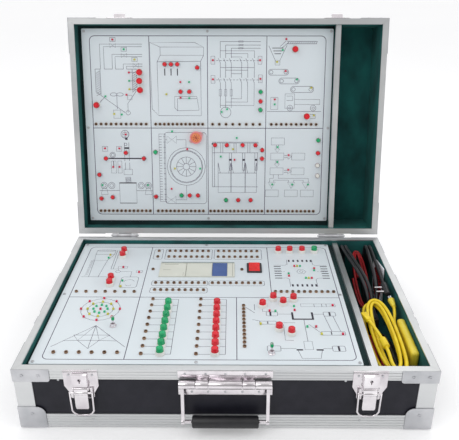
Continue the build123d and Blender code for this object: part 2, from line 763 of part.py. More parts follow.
# Fasteners: panel screws, and rivets through the pressed corners
for tray, face, height, recess, point in (
    ("base", base_face, base_height, base_recess, base_point),
    ("lid", lid_face, lid_height, lid_recess, lid_point),
):
    along_front = case_width / 2 + cap_sheet
    along_side = case_depth / 2 + cap_sheet
    spots = [(case_width / 2 - d, -10.0) for d in (12.0, 34.0)]
    spots.append((case_width / 2 - 18.0, foot_cap_height - height - 12.0))
    side_spots = [(case_depth / 2 - d, -10.0) for d in (14.0, 44.0)]
    side_spots.append((case_depth / 2 - 18.0, foot_cap_height - height - 12.0))
    with BuildPart() as fasteners:
        with BuildSketch(face.offset(-recess)):
            with Locations(*[point(*p) for p in screw_spots]):
                RegularPolygon(screw_radius, 5)
        extrude(amount=screw_height)
        for sign in (-1, 1):
            end_plane = Plane(
                origin=face.from_local_coords((0, sign * along_side, 0)),
                x_dir=face.x_dir, z_dir=face.y_dir * sign,
            )
            flip = -sign
            with BuildSketch(end_plane):
                with Locations(*[(s * x, flip * z) for s in (-1, 1) for x, z in spots]):
                    RegularPolygon(screw_radius, 5)
            extrude(amount=screw_height)
            side_plane = Plane(
                origin=face.from_local_coords((sign * along_front, 0, 0)),
                x_dir=face.y_dir, z_dir=face.x_dir * sign,
            )
            with BuildSketch(side_plane):
                with Locations(*[(s * y, sign * z) for s in (-1, 1) for y, z in side_spots]):
                    RegularPolygon(screw_radius, 5)
            extrude(amount=screw_height)
    keep(fasteners, f"{tray}_fasteners")

# Stay plates on both sides of the base, flat on the rim frame just under its upper edge
side_plate_length = 117.0
side_plate_front = 137.0
small_plate_length = 19.0
small_plate_front = 107.0
side_plate_height = 18.0
side_plate_drop = 1.0
side_plate_thick = 2.0
with BuildPart() as side_plates:
    for sign in (-1, 1):
        side = Plane(
            origin=(sign * case_width / 2, front_face, base_rim - side_plate_drop),
            x_dir=(0, 1, 0), z_dir=(sign, 0, 0),
        )
        middle = -sign * side_plate_height / 2
        with BuildSketch(side):
            with Locations((side_plate_front + side_plate_length / 2, middle)):
                Rectangle(side_plate_length, side_plate_height)
            with Locations((small_plate_front + small_plate_length / 2, middle)):
                Rectangle(small_plate_length, side_plate_height)
        extrude(amount=side_plate_thick)
keep(side_plates, "side_plates")

# Hinge leaves: knuckles share one axis behind the rear rims
hinge_axis = Plane(
    origin=(0, back_face + hinge_back, base_rim + hinge_up), x_dir=(0, 1, 0), z_dir=(1, 0, 0)
)
knuckle_run = knuckle_middle / 2 + knuckle_outer
leaf_top = knuckle_radius + 1.2
with BuildPart() as hinge_base_leaves:
    for sign in (-1, 1):
        with BuildSketch(Plane(origin=(sign * hinge_x, back_face, base_rim), x_dir=(1, 0, 0), z_dir=(0, 1, 0))):
            with Locations((0, hinge_leaf_height / 2 + leaf_top / 2)):
                Rectangle(hinge_leaf_width, hinge_leaf_height - leaf_top)
        extrude(amount=hinge_leaf_sheet)
        for end in (-1, 1):
            middle = sign * hinge_x + end * (knuckle_middle / 2 + knuckle_outer / 2)
            with BuildSketch(hinge_axis.offset(middle)):
                RegularPolygon(knuckle_radius, barrel_sides)
                with Locations((-hinge_back + hinge_leaf_sheet / 2, -hinge_up - leaf_top)):
                    Rectangle(hinge_leaf_sheet, 2 * leaf_top)
            extrude(amount=knuckle_outer / 2 - hinge_clearance, both=True)
        with BuildSketch(hinge_axis.offset(sign * hinge_x)):
            Circle(hinge_pin_radius)
        extrude(amount=knuckle_run + 2.0, both=True)
keep(hinge_base_leaves, "hinge_base_leaves")

lid_back = Plane(
    origin=lid_face.from_local_coords((0, -case_depth / 2, 0)), x_dir=lid_face.x_dir, z_dir=-lid_face.y_dir
)
with BuildPart() as hinge_lid_leaves:
    for sign in (-1, 1):
        with BuildSketch(lid_back):
            with Locations((sign * hinge_x, -(hinge_leaf_height + leaf_top) / 2)):
                Rectangle(hinge_leaf_width, hinge_leaf_height - leaf_top)
            with Locations((sign * hinge_x, -leaf_top)):
                Rectangle(knuckle_middle - 2 * hinge_clearance, 2 * leaf_top - 2.0)
        extrude(amount=hinge_leaf_sheet)
        with BuildSketch(hinge_axis.offset(sign * hinge_x)):
            RegularPolygon(knuckle_radius, barrel_sides)
            Circle(hinge_pin_radius + hinge_clearance, mode=Mode.SUBTRACT)
        extrude(amount=knuckle_middle / 2 - hinge_clearance, both=True)
keep(hinge_lid_leaves, "hinge_lid_leaves")

# Front fittings are drawn on the base's front face, seen from the front, measured from the rim
front = Plane(origin=(0, front_face, base_rim), x_dir=(1, 0, 0), z_dir=(0, -1, 0))


def side_view(x):
    """A plane across the front fittings: its X axis points out of the case, its Y axis up."""
    return Plane(origin=(x, front_face, base_rim), x_dir=(0, -1, 0), z_dir=(-1, 0, 0))


# Latch plates: a tapered plate with a rolled lip, a lock box with a keyhole, two ears and a pin
lever_half = lever_width / 2
ear_inside = lever_half + latch_play
with BuildPart() as latch_plates:
    for x in (-latch_x, latch_x):
        top, low = latch_plate_top / 2, latch_plate_bottom / 2
        with BuildSketch(front) as outline:
            with BuildLine():
                Polyline(
                    (x - top, 0), (x + top, 0), (x + top, -26), (x + low, -38),
                    (x + low, -latch_plate_height), (x - low, -latch_plate_height),
                    (x - low, -38), (x - top, -26), close=True,
                )
            make_face()
            fillet(outline.vertices().group_by(Axis.Y)[0], 4.0)
        extrude(amount=latch_plate_sheet)
        with BuildSketch(front):
            with Locations((x, -(rim_lip + joint_gap + latch_plate_height) / 2)):
                Rectangle(latch_plate_bottom - 8, latch_plate_height - rim_lip - joint_gap)
        extrude(amount=-skin)
        with BuildSketch(side_view(x)):
            with Locations((1.6, -1.6)):
                RegularPolygon(1.6, 8)
        extrude(amount=top, both=True)
        with BuildSketch(front.offset(latch_plate_sheet)):
            with Locations((x, -(lock_top + lock_bottom) / 2)):
                Rectangle(lock_width, lock_bottom - lock_top)
        extrude(amount=lock_depth - latch_plate_sheet)
        with BuildSketch(front.offset(lock_depth)):
            with Locations((x, -11.0)):
                RegularPolygon(keyhole_radius, 8)
            with Locations((x, -13.5)):
                Rectangle(1.4, 5.0)
        extrude(amount=-4.0, mode=Mode.SUBTRACT)
        for side in (-1, 1):
            with BuildSketch(side_view(x + side * (ear_inside + ear_sheet / 2))):
                with Locations((lever_pivot_out, -lever_pivot_drop)):
                    RegularPolygon(lever_barrel, barrel_sides)
                with Locations(((latch_plate_sheet + lever_pivot_out) / 2, -lever_pivot_drop)):
                    Rectangle(lever_pivot_out - latch_plate_sheet + 1, 2 * lever_barrel)
            extrude(amount=ear_sheet / 2, both=True)
        with BuildSketch(side_view(x)):
            with Locations((lever_pivot_out, -lever_pivot_drop)):
                Circle(lever_pin)
        extrude(amount=ear_inside + ear_sheet / 2, both=True)
keep(latch_plates, "latch_plates")

# Latch levers: a barrel on the pin, a thumb tab with a round end, and a boss for the bail
for name, x in (("latch_lever_left", -latch_x), ("latch_lever_right", latch_x)):
    tab_outside = lever_pivot_out + lever_barrel
    with BuildPart() as lever:
        with BuildSketch(front.offset(tab_outside - lever_sheet)):
            with Locations((x, -lever_pivot_drop - lever_length / 2)):
                Rectangle(lever_width, lever_length)
            with Locations((x, -lever_pivot_drop - lever_length)):
                Circle(lever_half)
            with Locations((x, -lever_pivot_drop - lever_length - lever_half)):
                Rectangle(lever_width, lever_half, mode=Mode.SUBTRACT)
        extrude(amount=lever_sheet)
        with BuildSketch(side_view(x)):
            with Locations((lever_pivot_out, -lever_pivot_drop)):
                RegularPolygon(lever_barrel, barrel_sides)
            with Locations((bail_out, -bail_drop)):
                RegularPolygon(bail_boss, barrel_sides)
        extrude(amount=lever_half, both=True)
        with BuildSketch(side_view(x)):
            with Locations((lever_pivot_out, -lever_pivot_drop)):
                Circle(lever_pin + 0.1)
            with Locations((bail_out, -bail_drop)):
                Circle(bail_wire + 0.1)
        extrude(amount=lever_width, both=True, mode=Mode.SUBTRACT)
    keep(lever, name)

# Latch bails: a round wire bent to a U, its ends turned into the lever's boss
for name, x in (("latch_bail_left", -latch_x), ("latch_bail_right", latch_x)):
    wire_plane = front.offset(bail_out)
    half = bail_width / 2
    foot = -bail_drop - bail_length
    bend = 11.0
    corner_points = [
        (half - bend * (1 - sin(radians(a))), foot + bend * (1 - cos(radians(a)))) for a in (15, 45, 75)
    ]
    right_side = [(5.0, -bail_drop), (half, -bail_drop)] + corner_points[::-1]
    with BuildPart() as bail:
        with BuildLine(wire_plane) as wire:
            Polyline(*[(x - px, py) for px, py in right_side], *[(x + px, py) for px, py in right_side[::-1]])
        with BuildSketch(Plane(origin=wire.line @ 0, z_dir=wire.line % 0)):
            RegularPolygon(bail_wire, 6)
        sweep(transition=Transition.RIGHT)
    keep(bail, name)

# Latch keepers on the lid: a plate with a raised hook
lid_front = Plane(
    origin=lid_face.from_local_coords((0, case_depth / 2, 0)), x_dir=(1, 0, 0), z_dir=up_the_lid
)
with BuildPart() as latch_keepers:
    for x in (-latch_x, latch_x):
        with BuildSketch(lid_front):
            with Locations((x, 0.8 + keeper_height / 2)):
                RectangleRounded(keeper_width, keeper_height, 3.0)
        extrude(amount=latch_plate_sheet)
        hook_origin = lid_front.from_local_coords((x, 0, 0))
        with BuildSketch(Plane(origin=hook_origin, x_dir=up_the_lid, z_dir=(1, 0, 0))):
            with BuildLine():
                Polyline(
                    (1.0, -1.0), (7.5, -4.5), (7.5, -9.0), (5.3, -9.0), (5.3, -6.5), (1.0, -6.5),
                    close=True,
                )
            make_face()
        extrude(amount=hook_width / 2, both=True)
keep(latch_keepers, "latch_keepers")

# Handle plate: two flanges, three fixed knuckles of the roll, and the pin through it
roll_centre = (handle_roll_out, -handle_roll_drop)
top_flange = 12.0
low_flange = 27.0
side_knuckle_x = handle_knuckle_middle / 2 + handle_knuckle_gap + handle_knuckle_side / 2
end_knuckle_x = (
    side_knuckle_x + handle_knuckle_side / 2 + handle_knuckle_gap + handle_knuckle_end / 2
)
with BuildPart() as handle_plate:
    with BuildSketch(front):
        with Locations((0, -(1.0 + top_flange) / 2)):
            Rectangle(handle_plate_width, top_flange - 1.0)
        with Locations((0, -(low_flange + handle_plate_height) / 2)):
            Rectangle(handle_plate_width, handle_plate_height - low_flange)
    extrude(amount=handle_flange_sheet)
    with BuildSketch(front):
        with Locations((0, -(low_flange + handle_plate_height) / 2)):
            Rectangle(handle_plate_width - 4, handle_plate_height - low_flange)
    extrude(amount=-skin)
    for x, width in (
        (0, handle_knuckle_middle), (-side_knuckle_x, handle_knuckle_side), (side_knuckle_x, handle_knuckle_side)
    ):
        with BuildSketch(front):
            with Locations((x, -handle_plate_height / 2)):
                Rectangle(width, handle_plate_height - 2.0)
        extrude(amount=handle_flange_sheet)
        with BuildSketch(side_view(x)):
            with Locations(roll_centre):
                RegularPolygon(handle_roll_radius, barrel_sides)
            with Locations((handle_roll_out / 2, -handle_roll_drop)):
                Rectangle(handle_roll_out, handle_roll_radius)
        extrude(amount=width / 2, both=True)
    with BuildSketch(side_view(0)):
        with Locations(roll_centre):
            Circle(handle_pin_radius)
    extrude(amount=end_knuckle_x + handle_knuckle_end / 2, both=True)
keep(handle_plate, "handle_plate")

# Handle bail: the two end knuckles, an arm from each, and the rod across
grip_centre = (handle_grip_out, -handle_roll_drop - handle_arm_length)
with BuildPart() as handle_bail:
    for side in (-1, 1):
        with BuildSketch(side_view(side * end_knuckle_x)):
            with Locations(roll_centre):
                RegularPolygon(handle_roll_radius, barrel_sides)
        extrude(amount=handle_knuckle_end / 2, both=True)
        with BuildSketch(side_view(side * handle_arm_x)):
            with BuildLine():
                Line(roll_centre, grip_centre)
            trace(line_width=handle_arm_sheet)
            with Locations(grip_centre):
                RegularPolygon(handle_arm_sheet, barrel_sides)
        extrude(amount=handle_arm_width / 2, both=True)
        with BuildSketch(side_view(side * end_knuckle_x)):
            with Locations(roll_centre):
                Circle(handle_pin_radius + 0.1)
        extrude(amount=handle_knuckle_end, both=True, mode=Mode.SUBTRACT)
    with BuildSketch(side_view(0)):
        with Locations(grip_centre):
            RegularPolygon(handle_rod_radius, 8)
    extrude(amount=handle_arm_x, both=True)
keep(handle_bail, "handle_bail")

# Handle grip: a rubber sleeve on the rod
with BuildPart() as handle_grip:
    with BuildSketch(side_view(0)):
        with Locations(grip_centre):
            RegularPolygon(grip_radius, 14)
            RegularPolygon(handle_rod_radius, 8, mode=Mode.SUBTRACT)
    extrude(amount=grip_length / 2, both=True)
keep(handle_grip, "handle_grip")


# Cords kept in the side compartment are measured from the divider, the case's front face and the floor
pocket_floor = foot_height + skin + floor_board + lining
pocket_left = inner_width / 2 - pocket_width
pocket = Plane(origin=(pocket_left, front_face, 0), x_dir=(1, 0, 0), z_dir=(0, 0, 1))


def place(points):
    """Move route points from the divider and the case's front face into the model."""
    return [(pocket_left + x, front_face + y, z) for x, y, z in points]


def least_gap(path, radius):
    """The least gap between turns of a cord, measured on points a radius apart."""
    count = round(path.length / radius)
    points = [path @ (k / count) for k in range(count + 1)]
    gaps = [
        (points[i] - points[j]).length for i in range(count) for j in range(i + 9, count)
        if abs(points[i].X - points[j].X) < 3 * radius and abs(points[i].Y - points[j].Y) < 3 * radius
    ]
    return min(gaps, default=8 * radius) - 2 * radius


def bends(points, largest):
    """Each corner's arc is nearly as large as its shorter run allows."""
    radii = []
    for before, corner, after in zip(points, points[1:], points[2:]):
        into, onward = Vector(*corner) - Vector(*before), Vector(*after) - Vector(*corner)
        half_turn = radians(into.get_angle(onward)) / 2
        radii.append(min(largest, 0.49 * min(into.length, onward.length) / tan(half_turn)))
    return radii


def cord(points, largest, radius, sides):
    """A cord of a plain many-sided section along a route of runs and tangent arcs."""
    radii = bends(points, largest)
    with BuildPart() as tube:
        with BuildLine():
            path = FilletPolyline(*place(points), radius=radii)
        with BuildSketch(Plane(origin=path @ 0, z_dir=path % 0)) as section:
            RegularPolygon(radius, sides)
        sweep(section.sketch, path=path)
    gap = least_gap(path, radius)
    print(f"cord {path.length:.0f} mm, tightest arc {min(radii):.1f} mm, least gap {gap:.2f} mm")
    return tube


# Mains cord: four tall loops that fan out from a waist to the rear wall
mains_front_x = (22.5, 29.3, 36.1, 42.9)
mains_rear_x = (7.0, 14.0, 51.5, 58.5)
mains_front, mains_rear = 214.0, 375.0
mains_low, mains_high = pocket_floor + mains_radius + 0.2, base_rim - 8.0
mains_fold = (mains_high - mains_low) / 2
mains_route = [(mains_front_x[0], 200.0, 20.0)]
for k in range(4):
    if k:
        mains_route += [
            (mains_front_x[k], mains_front, mains_high), (mains_front_x[k], mains_front, mains_low)
        ]
    mains_route += [
        (mains_rear_x[k], mains_rear, mains_low), (mains_rear_x[k], mains_rear, mains_high)
    ]
mains_route.append((56.5, 236.0, 90.0))
keep(cord(mains_route, mains_fold, mains_radius, cord_sides), "mains_cord")

# Mains adapter block that the cord starts in, and the plug on its other end
with BuildPart() as mains_plugs:
    with BuildSketch(pocket.offset(pocket_floor)):
        with Locations((mains_front_x[0], 181.0)):
            Rectangle(30.0, 38.0)
    extrude(amount=58.0, taper=2)
    with BuildSketch(Plane(origin=pocket.from_local_coords((56.5, 236.0, 90.0)), x_dir=(1, 0, 0), z_dir=(0, -1, 0))):
        RegularPolygon(6.2, 8)
    extrude(amount=30.0, taper=3)
keep(mains_plugs, "mains_plugs")

# Data cable: a flat hank in two layers, leaning, between a round connector and a small plug
data_x, data_front, data_rear = 26.5, 16.0, 190.0
data_wide, data_pitch = 20.5, 6.0
data_slim = data_wide - data_pitch
data_inner = data_slim - data_pitch
data_low, data_step = 79.4, 6.2


def lean(x, y, z):
    """The hank lies lower at its front left, where less is under it."""
    return (data_x + x, y, z + 0.2 * x + 0.03 * (y - data_rear / 2))


high = data_low + data_step
over = high + data_step + 0.3
data_inset = data_pitch + 1.2
data_route = [
    (58.5, 172.0, 88.0), (56.5, 156.0, 87.0), lean(data_wide + 0.5, 128.0, data_low),
    lean(data_wide, data_front, data_low), lean(-data_wide, data_front, data_low),
    lean(-data_wide, data_rear, data_low), lean(data_slim, data_rear, data_low),
    lean(data_slim, data_front + data_inset, data_low),
    lean(-data_inner, data_front + data_inset, data_low),
    lean(-data_inner, data_rear - data_inset, high), lean(data_slim, data_rear - data_inset, high),
    lean(data_slim, data_front + data_inset, high), lean(-data_slim, data_front + data_inset, high),
    lean(-data_slim, data_rear, high), lean(data_wide, data_rear, high),
    lean(data_wide, data_front, high), lean(-5.0, data_front, over),
    lean(-3.0, 62.0, over), lean(-9.0, 104.0, over), (10.3, 127.4, 92.6),
]
keep(cord(data_route, 40.0, data_radius, cord_sides), "data_cable")

# What the data cable carries: round connector, inline filter, small plug and converter box
with BuildPart() as data_cable_ends:
    connector = Plane(origin=pocket.from_local_coords((58.5, 172.0, 88.0)), x_dir=(1, 0, 0), z_dir=(0, 1, 0))
    with BuildSketch(connector):
        RegularPolygon(5.6, 8)
    extrude(amount=20.0)
    with BuildSketch(connector.offset(20.0)):
        RegularPolygon(4.4, 8)
    extrude(amount=7.0)
    with BuildSketch(pocket.offset(89.3)):
        with Locations(Location((7.5, 137.0), 16)):
            Rectangle(8.6, 20.0)
    extrude(amount=6.6)
    with BuildSketch(pocket.offset(55.0)):
        with Locations((pocket_width - 6.75, 94.0)):
            Rectangle(12.5, 88.0)
    extrude(amount=36.0)
keep(data_cable_ends, "data_cable_ends")

# Test leads: two tall coils at the front and two flat ones leaning on the rear wall
lead_low = pocket_floor + lead_radius + 0.2


def tall_coil(places, tops, front, rear):
    """Route of a coil that stands on edge, one loop at each place across the compartment."""
    route = [(places[0], front + 55, lead_low)]
    for k, x in enumerate(places):
        route += [(x, rear, lead_low), (x, rear, tops[k]), (x, front, tops[k])]
        if k + 1 < len(places):
            route.append((places[k + 1], front, lead_low))
    return route[:-1] + [(places[-1], front + 30, tops[-1])]


def flat_coil(x, half, pitch, front, rear, low, rise):
    """Route of a flat coil of two turns that leans back, with its end inside."""
    slope = rise / (rear - front)
    inner = half - pitch
    corners = [
        (x - half, rear - 65), (x - half, front), (x + half, front), (x + half, rear),
        (x - inner, rear), (x - inner, front + pitch), (x + inner, front + pitch),
        (x + inner, rear - pitch), (x - inner + pitch, rear - pitch), (x - inner + pitch, front + 70),
    ]
    return [(px, py, low + slope * (py - front)) for px, py in corners]


red_places = [7.5, 13.0, 18.5]
black_places = [30.5, 38.0, 50.0]
lead_top = 66.0
coils = [
    (tall_coil(red_places, [lead_top] * 3, 20.0, 152.0), 40.0),
    (tall_coil(black_places, [lead_top] * 2 + [lead_top - 14.0], 20.0, 152.0), 18.0),
]
coils += [(flat_coil(33.0, 13.0, 4.8, 240.0, 371.0, low, 42.0), 12.6) for low in (34.0, 39.2)]
coil_parts = [cord(route, largest, lead_radius, lead_sides) for route, largest in coils]
with BuildPart() as test_leads:
    for coil in coil_parts:
        add(coil.part)
keep(test_leads, "test_leads")

# Software disc in a square sleeve that leans on the right wall
sleeve = Plane(
    origin=pocket.from_local_coords((pocket_width - 3.5, 300.0, 57.0)), x_dir=(0, 1, 0), z_dir=(-1, 0, 0)
)
with BuildPart() as disc_sleeve:
    with BuildSketch(sleeve):
        with Locations(Location((0, 0), 12)):
            Rectangle(72.0, 72.0)
    extrude(amount=1.2, both=True)
keep(disc_sleeve, "disc_sleeve")
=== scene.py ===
# %% [markdown]
# # A training case for automatic control
#
# The object is an aluminium-edged flight case that stands open. Its base and its lid each hold a
# white panel with small printed pictures, push buttons, lamps and patch sockets, and a side
# compartment keeps the cords. The measured solids come first, as a fixed frame, and every
# piece made here sits on them or stands for one of them.

# %% Load the measured model
import json
from math import cos, pi, radians, sin, tau

import bmesh
import bpy
from mathutils import Matrix, Vector


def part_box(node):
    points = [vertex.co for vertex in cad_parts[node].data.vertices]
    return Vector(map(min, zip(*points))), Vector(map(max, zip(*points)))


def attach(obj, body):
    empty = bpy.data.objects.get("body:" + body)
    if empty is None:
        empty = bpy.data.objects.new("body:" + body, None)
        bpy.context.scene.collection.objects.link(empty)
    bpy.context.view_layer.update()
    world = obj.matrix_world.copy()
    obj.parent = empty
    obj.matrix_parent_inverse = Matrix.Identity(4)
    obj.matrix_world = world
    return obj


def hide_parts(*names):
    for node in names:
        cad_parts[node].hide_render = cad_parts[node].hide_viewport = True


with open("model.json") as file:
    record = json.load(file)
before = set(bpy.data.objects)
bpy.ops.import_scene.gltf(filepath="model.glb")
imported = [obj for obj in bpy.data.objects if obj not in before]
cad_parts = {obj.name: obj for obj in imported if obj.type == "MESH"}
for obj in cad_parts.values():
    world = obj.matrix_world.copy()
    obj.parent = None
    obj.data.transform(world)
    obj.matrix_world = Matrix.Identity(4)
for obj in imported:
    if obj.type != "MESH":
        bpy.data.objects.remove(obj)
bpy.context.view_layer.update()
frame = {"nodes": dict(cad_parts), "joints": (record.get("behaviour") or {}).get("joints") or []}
mm = 0.001

# %% [markdown]
# ## Two trays, two sets of axes
#
# The base lies flat and the lid leans back by 12 degrees, so a place on the lid is easiest to give
# on the lid's own rim. Each tray gets a matrix whose Z axis points out of the tray. The lid's is
# found as the hinge makes it: the closed lid faces down, and it turns back about the hinge line.
# What belongs to the base rides on the root body, and what belongs to the lid rides on the lid.

# %% Axes of the base and of the lid
rim_low, rim_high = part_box("base_rim_frame")
case_middle = (rim_low.y + rim_high.y) / 2
base_tray = Matrix.Translation((0, case_middle, rim_high.z))
lid_hinge = next(joint for joint in frame["joints"] if joint["name"] == "lid_hinge")
hinge_line = Matrix.Translation(Vector(lid_hinge["pos_m"]))
rim_gap = 0.6 * mm
closed_lid = Matrix.Translation((0, case_middle, rim_high.z + rim_gap)) @ Matrix.Rotation(pi, 4, "X")
opened = Matrix.Rotation(-radians(lid_hinge["range_deg"][1]), 4, "X")
lid_tray = hinge_line @ opened @ hinge_line.inverted() @ closed_lid
trays = {"base": base_tray, "lid": lid_tray}
riding = {"base": "root", "lid": "lid"}


def extent(points):
    """The lowest and the highest corner of a set of points."""
    return Vector([min(row) for row in zip(*points)]), Vector([max(row) for row in zip(*points)])


def in_tray(node, tray):
    """The extent of a node, measured in a tray's own axes."""
    return extent([tray.inverted() @ v.co for v in frame["nodes"][node].data.vertices])


faces = {}
for tray_name, tray in trays.items():
    low, high = in_tray(f"{tray_name}_panel", tray)
    faces[tray_name] = tray @ Matrix.Translation((low.x, high.y, high.z))
    wide, deep = (high - low).xy / mm
    print(f"{tray_name} panel is {wide:.1f} by {deep:.1f} mm")

# %% [markdown]
# ## Where the small parts stand
#
# A bank of buttons or sockets is one node of many loose solids. Its mesh is loose triangles, so a
# copy is merged first, and each island of joined points then gives one place. That keeps every
# new button exactly on the one that it stands for.

# %% Find the loose parts of a node


def loose_parts(node, tray):
    """The box of each loose solid of a node, in a tray's own axes, as (middle, size)."""
    shape = bmesh.new()
    shape.from_mesh(frame["nodes"][node].data)
    bmesh.ops.remove_doubles(shape, verts=shape.verts, dist=1e-6)
    found, seen = [], set()
    for start in shape.verts:
        if start in seen:
            continue
        seen.add(start)
        island, waiting = [], [start]
        while waiting:
            point = waiting.pop()
            island.append(tray.inverted() @ point.co)
            for edge in point.link_edges:
                other = edge.other_vert(point)
                if other not in seen:
                    seen.add(other)
                    waiting.append(other)
        low, high = extent(island)
        found.append(((low + high) / 2, high - low))
    shape.free()
    return found


# %% [markdown]
# ## Camera, light and floor
#
# The camera was solved from the case's straight edges, so its place, tilt and lens are fixed
# numbers. The photograph has even, soft light from above and the front on a white ground: a bright
# world gives the metal something pale to reflect, and broad lights model the forms gently. The
# world is darker towards the front, so the upright metal has some contrast.

# %% Place the camera
camera_place = Vector((9.77, -911.18, 617.88)) * mm
camera_tilt = radians(90 - 25.04)
camera_pan = radians(0.38)
bpy.ops.object.camera_add(location=camera_place, rotation=(camera_tilt, 0, camera_pan))
camera = bpy.context.object
camera.data.lens = 47.57
camera.data.sensor_width = 36
camera.data.clip_start = 0.01
bpy.context.scene.camera = camera
bpy.context.scene.view_settings.view_transform = "Standard"

# %% Light the case as in a studio


def soft_light(name, place, aim, size, power):
    """A square area light that faces a point of the case."""
    bpy.ops.object.light_add(type="AREA", location=place)
    light = bpy.context.object
    light.name = name
    light.data.size = size
    light.data.energy = power
    light.rotation_euler = (Vector(aim) - Vector(place)).to_track_quat("-Z", "Y").to_euler()


case_heart = (0, 0, 0.2)
soft_light("key_light", (-0.9, -1.3, 1.7), case_heart, 1.2, 9)
soft_light("fill_light", (1.3, -0.9, 1.1), case_heart, 1.4, 4)
soft_light("back_light", (0.2, 1.1, 1.6), (0, 0.2, 0.3), 1.2, 4)

# %% A white world and floor


def preset(node, **values):
    """Set the inputs of a shader node by name."""
    for socket, value in values.items():
        node.inputs[socket.replace("_", " ")].default_value = value


def wire(tree, *pairs):
    """Link sockets, each pair written as node, output, node, input."""
    for source, output, target, entry in pairs:
        tree.links.new(source.outputs[output], target.inputs[entry])


world = bpy.data.worlds.new("white_studio")
bpy.context.scene.world = world
world.use_nodes = True
sky = world.node_tree
backdrop = sky.nodes["Background"]
direction, split = sky.nodes.new("ShaderNodeTexCoord"), sky.nodes.new("ShaderNodeSeparateXYZ")
front_card = sky.nodes.new("ShaderNodeMapRange")
preset(backdrop, Color=(1, 1, 1, 1))
preset(front_card, From_Min=-0.75, From_Max=-0.1, To_Min=0.5, To_Max=1.0)
wire(
    sky, (direction, "Generated", split, "Vector"), (split, "Y", front_card, "Value"),
    (front_card, "Result", backdrop, "Strength"),
)

bpy.ops.mesh.primitive_plane_add(size=12, location=(0, 0, 0))
floor = bpy.context.object
floor.name = "studio_floor"

# %% [markdown]
# ## Shared effects
#
# No real surface is one flat colour. One node group mixes two tones, changes the polish a little
# from place to place and raises a fine relief, and each material sets its own scale and values.
# The group puts out only colours, values and normals, and the shader stays in the material.

# %% A group for tone, polish and relief


def add_sockets(group, direction, sockets):
    """Give a node group its named sockets."""
    for label, kind, value in sockets:
        socket = group.interface.new_socket(label, in_out=direction, socket_type=kind)
        if value is not None:
            socket.default_value = value


surface_tone = bpy.data.node_groups.new("surface_tone", "ShaderNodeTree")
add_sockets(surface_tone, "INPUT", [
    ("Vector", "NodeSocketVector", None),
    ("Light", "NodeSocketColor", (0.8, 0.8, 0.8, 1)), ("Dark", "NodeSocketColor", (0.6, 0.6, 0.6, 1)),
    ("Scale", "NodeSocketFloat", 40.0), ("Fine Scale", "NodeSocketFloat", 400.0),
    ("Smooth", "NodeSocketFloat", 0.3), ("Rough", "NodeSocketFloat", 0.5),
    ("Depth", "NodeSocketFloat", 0.0001),
])
add_sockets(surface_tone, "OUTPUT", [
    ("Color", "NodeSocketColor", None), ("Roughness", "NodeSocketFloat", None),
    ("Normal", "NodeSocketVector", None),
])
nodes = surface_tone.nodes
group_in, group_out = nodes.new("NodeGroupInput"), nodes.new("NodeGroupOutput")
broad, fine = nodes.new("ShaderNodeTexNoise"), nodes.new("ShaderNodeTexNoise")
tone, polish = nodes.new("ShaderNodeMix"), nodes.new("ShaderNodeMapRange")
relief, contrast = nodes.new("ShaderNodeBump"), nodes.new("ShaderNodeMapRange")
tone.data_type = "RGBA"
preset(broad, Detail=4)
preset(fine, Detail=3)
preset(contrast, From_Min=0.3, From_Max=0.7)
preset(relief, Strength=0.6)
wire(
    surface_tone, (group_in, "Vector", broad, "Vector"), (group_in, "Scale", broad, "Scale"),
    (group_in, "Vector", fine, "Vector"), (group_in, "Fine Scale", fine, "Scale"),
    (broad, "Fac", contrast, "Value"), (contrast, "Result", tone, "Factor"),
    (group_in, "Light", tone, "A"), (group_in, "Dark", tone, "B"),
    (fine, "Fac", polish, "Value"), (group_in, "Smooth", polish, "To Min"),
    (group_in, "Rough", polish, "To Max"), (fine, "Fac", relief, "Height"),
    (group_in, "Depth", relief, "Distance"), (tone, "Result", group_out, "Color"),
    (polish, "Result", group_out, "Roughness"), (relief, "Normal", group_out, "Normal"),
)

# %% A material from the group


def finish(name, light, dark, scale, fine_scale, polish, depth, stretch=(1, 1, 1), **shader):
    """A material with two tones, an uneven polish from smooth to rough, and a fine relief."""
    material = bpy.data.materials.new(name)
    material.use_nodes = True
    tree = material.node_tree
    surface = tree.nodes["Principled BSDF"]
    position, mapping = tree.nodes.new("ShaderNodeTexCoord"), tree.nodes.new("ShaderNodeMapping")
    detail = tree.nodes.new("ShaderNodeGroup")
    detail.node_tree = surface_tone
    preset(mapping, Scale=stretch)
    preset(detail, Light=(*light, 1), Dark=(*dark, 1), Scale=scale, Fine_Scale=fine_scale, Depth=depth)
    preset(detail, Smooth=polish[0], Rough=polish[1])
    preset(surface, **shader)
    wire(
        tree, (position, "Object", mapping, "Vector"), (mapping, "Vector", detail, "Vector"),
        (detail, "Color", surface, "Base Color"), (detail, "Roughness", surface, "Roughness"),
        (detail, "Normal", surface, "Normal"),
    )
    return material


# %% [markdown]
# ## Metals
#
# The extrusions are natural aluminium, pale with a satin grain along their length. The latches,
# hinges, corners and handle are plated steel, brighter and smoother. Colours are the linear
# reflectances of the metal, a little uneven, and the polish carries the difference; the chrome's
# colour also carries a pink tint, which is a painted pink reflection.

# %% Aluminium, chrome, steel and brass
aluminium = finish(
    "natural_aluminium", (0.68, 0.69, 0.69), (0.54, 0.55, 0.56), 18, 900, (0.26, 0.42), 2e-5,
    stretch=(0.15, 1, 1), Metallic=0.85,
)
corner_steel = finish(
    "zinc_plated_steel", (0.60, 0.60, 0.62), (0.44, 0.45, 0.47), 30, 500, (0.25, 0.42), 4e-5, Metallic=0.9,
)
# Plated chrome whose pinkish tint is a painted pink reflection.
chrome_with_painted_reflection = finish(
    "plated_chrome_painted_reflection", (0.84, 0.81, 0.83), (0.64, 0.60, 0.63), 40, 400, (0.10, 0.20), 1e-5, Metallic=1.0,
)
brass = finish("brass", (0.42, 0.26, 0.16), (0.22, 0.12, 0.07), 90, 900, (0.25, 0.45), 2e-5, Metallic=0.9)
